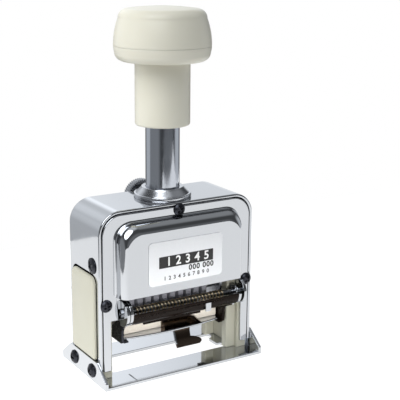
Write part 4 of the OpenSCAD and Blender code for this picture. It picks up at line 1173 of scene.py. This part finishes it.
# %% Ink pad
pad_lo, pad_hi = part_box("ink_pad")
pad_lo, pad_hi = pad_lo / MM, pad_hi / MM
nap = 0.1
felt = slab("ink_pad_felt", rect(pad_lo.x + nap, pad_lo.y + nap, pad_hi.x - nap, pad_hi.y - nap),
    pad_lo.z + 0.02, pad_hi.z - nap, "Z")
apply(felt, "BEVEL", width=0.5 * MM, segments=3, limit_method="ANGLE",
    angle_limit=math.radians(40))
apply(felt, "REMESH", mode="VOXEL", voxel_size=0.28 * MM)
fuzz = bpy.data.textures.new("felt_fuzz", "CLOUDS")
fuzz.noise_scale = 0.9 * MM
apply(felt, "DISPLACE", texture=fuzz, strength=0.12 * MM, mid_level=0.5)
smooth(felt, 60)
seat(felt, wool_felt, "ink_drawer", "felt", "ink_pad")

# %% [markdown]
# ## Repeat dial
#
# The dial at the back sets how often a number repeats. Its edge is knurled for the fingertips, and
# plain digits stand round its face.

# %% Dial
dial_y0, dial_y1 = span("repeat_dial", "Y")
dial_x = sum(span("repeat_dial", "X")) / 2
dial_z = sum(span("repeat_dial", "Z")) / 2
dial_r = (span("repeat_dial", "X")[1] - span("repeat_dial", "X")[0]) / 2
knurls = 48
knurl_line = []
for i in range(knurls * 4):
    r = dial_r - (0.32 if i % 4 in (0, 1) else 0)
    t = 2 * math.pi * (i + (0.25 if i % 2 else 0)) / (knurls * 4)
    knurl_line.append((dial_x + r * math.cos(t), dial_z + r * math.sin(t)))
dial = slab("dial", knurl_line, dial_y0, dial_y1, "Y")
drill(dial, 1.65, 0, 30, "Y", (dial_x, dial_z), 48)
recess = turned("recess", [(2.9, dial_y1 - 0.3), (5.9, dial_y1 - 0.3), (5.9, dial_y1 + 1),
    (2.9, dial_y1 + 1), (2.9, dial_y1 - 0.3)], "Y", (dial_x, dial_z), 64)
combine(dial, recess)
soften(dial, 0.12, 2, 40)
dial.name = "repeat_dial_knurled"
seat(dial, nickel_plate, "dial", "zinc_casting", "repeat_dial")

# %% Digits on the dial
marks = []
for i, body in enumerate("1234567890"):
    mark = figures(body, 2.2, 0.05)
    mark.data.transform(shift(dial_x, dial_y1 - 0.27, dial_z) @ Matrix.Rotation(math.pi, 4, "Z")
        @ to_front @ Matrix.Rotation(math.radians(-36 * i), 4, "Z") @ shift(0, 4.4, 0))
    marks.append(mark)
seat(join("dial_digits", marks), black_ink, "dial", "zinc_casting")

# %% Dial shaft with a slotted head
shaft_lo, shaft_hi = span("dial_shaft", "Y")
shaft_line = [(0, shaft_lo), (1.6, shaft_lo), (1.6, shaft_hi - 1), (2.6, shaft_hi - 1),
    (2.6, shaft_hi - 0.3), (2.3, shaft_hi), (0, shaft_hi)]
shaft = turned("dial_shaft_turned", shaft_line, "Y", (dial_x, dial_z), 48)
kerf = slab("kerf", rect(dial_x - 3, dial_z - 0.3, dial_x + 3, dial_z + 0.3), shaft_hi - 0.5,
    shaft_hi + 1, "Y")
soften(combine(shaft, kerf), 0.06, 1)
seat(shaft, chrome_plate, "dial", "steel", "dial_shaft")

# %% [markdown]
# ## Pieces that keep their CAD shape
#
# What sits deep inside, and the rod under the long coil, keeps its CAD mesh and gets the finish
# that the real piece has.

# %% Finishes for the inner pieces
inner = {
    ground_steel: ["spring_bar", "spring_seat", "tube_plug", "left_side_plate", "right_side_plate",
        "wheel_axle", "axle_spacer", "feed_rod", "detent_rod", "pad_pivot_rod"],
    nickel_plate: ["head_block", "carriage_bridge"],
    black_enamel: ["feed_comb", "detent_pawls"],
    brass_wire: ["detent_springs"],
}
for material, names in inner.items():
    for name in names:
        nodes[name].data.materials.clear()
        nodes[name].data.materials.append(material)
print(sum(len(names) for names in inner.values()), "CAD nodes keep their shape")

# %% [markdown]
# ## Studio
#
# Chrome shows the room more than itself, so the room is half of its look. An opal sheet, lit from
# below, lies under the machine. It ends 15 cm to the left and 16 cm behind, so the upright tube
# looks past its edges into the darker room, and that draws the tube's dark bands. The lamp under
# the sheet stands to the machine's left, where the glow is a little stronger.

# %% Sheet under the machine
fresh()
bpy.ops.mesh.primitive_plane_add(size=1, location=(0, 0, -0.1 * MM))
floor = bpy.context.object
floor.name = "floor"
floor.data.transform(Matrix.Translation((0.075, -0.07, 0)) @ Matrix.Diagonal((0.45, 0.46, 1, 1)))
opal, tree, shader, where = finish("opal_acrylic_sheet_lit_from_below", "#8C8C8C", Roughness=0.9)
cloud = add(tree, "ShaderNodeTexNoise", {"Vector": where, "Scale": per_mm(60), "Detail": 2.0})
tint = add(tree, "ShaderNodeMix", {"Factor": cloud.outputs["Fac"], "A": linear("#F3F3F3"),
    "B": linear("#F1F2F2")}, data_type="RGBA")
tree.links.new(tint.outputs["Result"], shader.inputs["Emission Color"])
lamp = add(tree, "ShaderNodeVectorMath", {0: where, 1: (-0.075, -0.02, 0)}, operation="DISTANCE")
pool = add(tree, "ShaderNodeMapRange", {"Value": lamp.outputs["Value"], "From Min": 0.02,
    "From Max": 0.13, "To Min": 1.25, "To Max": 1.0}, interpolation_type="SMOOTHSTEP")
tree.links.new(pool.outputs["Result"], shader.inputs["Emission Strength"])
floor.data.materials.append(opal)

# %% [markdown]
# The room is a dim sphere with soft round patches of light on it: four behind, one on each side, a
# weak one low in front and two overhead. One bright patch high at the front left puts the glint on
# chrome. It is hidden from dull surfaces, which it would burn out. The camera sees plain white.

# %% Room
world = bpy.data.worlds.new("studio")
bpy.context.scene.world = world
world.use_nodes = True
tree = world.node_tree
tree.nodes.clear()
look = add(tree, "ShaderNodeTexCoord", {}).outputs["Generated"]


def patch(towards, inner, outer, strength, total=None):
    """Adds a soft-edged round patch of light in a direction; inner and outer are half angles."""
    way = Vector(towards).normalized()
    facing = add(tree, "ShaderNodeVectorMath", {0: look, 1: way}, operation="DOT_PRODUCT")
    edge = add(tree, "ShaderNodeMapRange", {"Value": facing.outputs["Value"],
        "From Min": math.cos(math.radians(outer)), "From Max": math.cos(math.radians(inner)),
        "To Min": 0.0, "To Max": strength}, interpolation_type="SMOOTHSTEP")
    if total is None:
        return edge.outputs["Result"]
    both = add(tree, "ShaderNodeMath", {0: total, 1: edge.outputs["Result"]}, operation="ADD")
    return both.outputs[0]


glow = patch((0, 0, 1), 179, 180, 0.08)
for towards, inside, outside, strength in (
        ((0.50, 0.83, 0.16), 6, 30, 0.92),  # behind, right
        ((0.04, 0.83, 0.56), 14, 32, 0.78),  # behind, high
        ((-0.42, 0.83, 0.36), 8, 28, 0.22),  # behind, left and high
        ((-0.54, 0.83, -0.02), 14, 33, 0.56),  # behind, left
        ((-0.92, 0.00, -0.25), 25, 50, 0.22),  # left, low
        ((0.20, -0.95, -0.20), 12, 40, 0.12),  # in front, low
        ((1.00, -0.10, -0.10), 10, 32, 0.6),  # right
        ((-0.10, -0.20, 0.96), 10, 30, 0.6),  # overhead
        ((0.50, 0.05, 0.86), 10, 38, 0.26)):  # overhead, right
    glow = patch(towards, inside, outside, strength, glow)
box = patch((-0.47, -0.48, 0.74), 22, 28, 3.6)
path = add(tree, "ShaderNodeLightPath", {})
sharp = add(tree, "ShaderNodeMath", {0: 1.0, 1: path.outputs["Is Diffuse Ray"]},
    operation="SUBTRACT")
glint = add(tree, "ShaderNodeMath", {0: box, 1: sharp.outputs[0]}, operation="MULTIPLY")
glow = add(tree, "ShaderNodeMath", {0: glow, 1: glint.outputs[0]}, operation="ADD").outputs[0]
room = add(tree, "ShaderNodeBackground", {"Color": linear("#F6FAFF"), "Strength": glow})
backdrop = add(tree, "ShaderNodeBackground", {"Color": linear("#FFFFFF"), "Strength": 1.0})
either = add(tree, "ShaderNodeMixShader", {0: path.outputs["Is Camera Ray"],
    1: room.outputs[0], 2: backdrop.outputs[0]})
add(tree, "ShaderNodeOutputWorld", {"Surface": either.outputs[0]})

# %% Lights


def area(name, spot, target, size, power, mirrored=True):
    """A square soft box at a spot, in metres, that faces the target."""
    fresh()
    bpy.ops.object.light_add(type="AREA", location=spot)
    light = bpy.context.object
    light.name = name
    light.data.size = size
    light.data.energy = power
    light.rotation_euler = (Vector(spot) - Vector(target)).to_track_quat("Z", "Y").to_euler()
    light.visible_glossy = mirrored
    return light


middle = (0, 0, 0.06)
key = area("key_softbox", (-0.95, 0.22, 0.32), middle, 0.45, 3.2, mirrored=False)
fill = area("fill_softbox", (-0.68, -0.05, 0.90), middle, 0.6, 6.2, mirrored=False)
low = area("low_front_strip", (-0.10, -0.30, 0.035), (0, 0, 0.015), 0.06, 0.008, mirrored=False)
low.data.spread = math.radians(10)
print("lights", key.data.energy, fill.data.energy, "W")

# %% [markdown]
# ## Camera
#
# The camera stands about 0.39 m away, to the left of the front, and looks down by 14 degrees. Its
# lens is shifted a little, because the machine doesn't stand in the middle of the frame.

# %% Camera
azimuth, elevation, roll = math.radians(-31.62), math.radians(14.05), math.radians(0.42)
back = Vector((math.sin(azimuth) * math.cos(elevation), -math.cos(azimuth) * math.cos(elevation),
    math.sin(elevation)))
right = Vector((0, 0, 1)).cross(back).normalized()
up = back.cross(right)
right, up = (right * math.cos(roll) + up * math.sin(roll),
    up * math.cos(roll) - right * math.sin(roll))
fresh()
bpy.ops.object.camera_add()
camera = bpy.context.object
camera.matrix_world = Matrix((right, up, back)).transposed().to_4x4()
camera.location = Vector((-178.76, -309.96, 155.38)) * MM
focal_px, frame_px = 978.37, 400
centre_x, centre_y = 189.80, 192.42
camera.data.sensor_width = 36
camera.data.lens = focal_px / frame_px * camera.data.sensor_width
camera.data.shift_x = (frame_px / 2 - centre_x) / frame_px
camera.data.shift_y = (centre_y - frame_px / 2) / frame_px
camera.data.clip_start = 0.01
bpy.context.scene.camera = camera
bpy.context.scene.view_settings.view_transform = "Standard"
print("lens", round(camera.data.lens, 1), "mm")
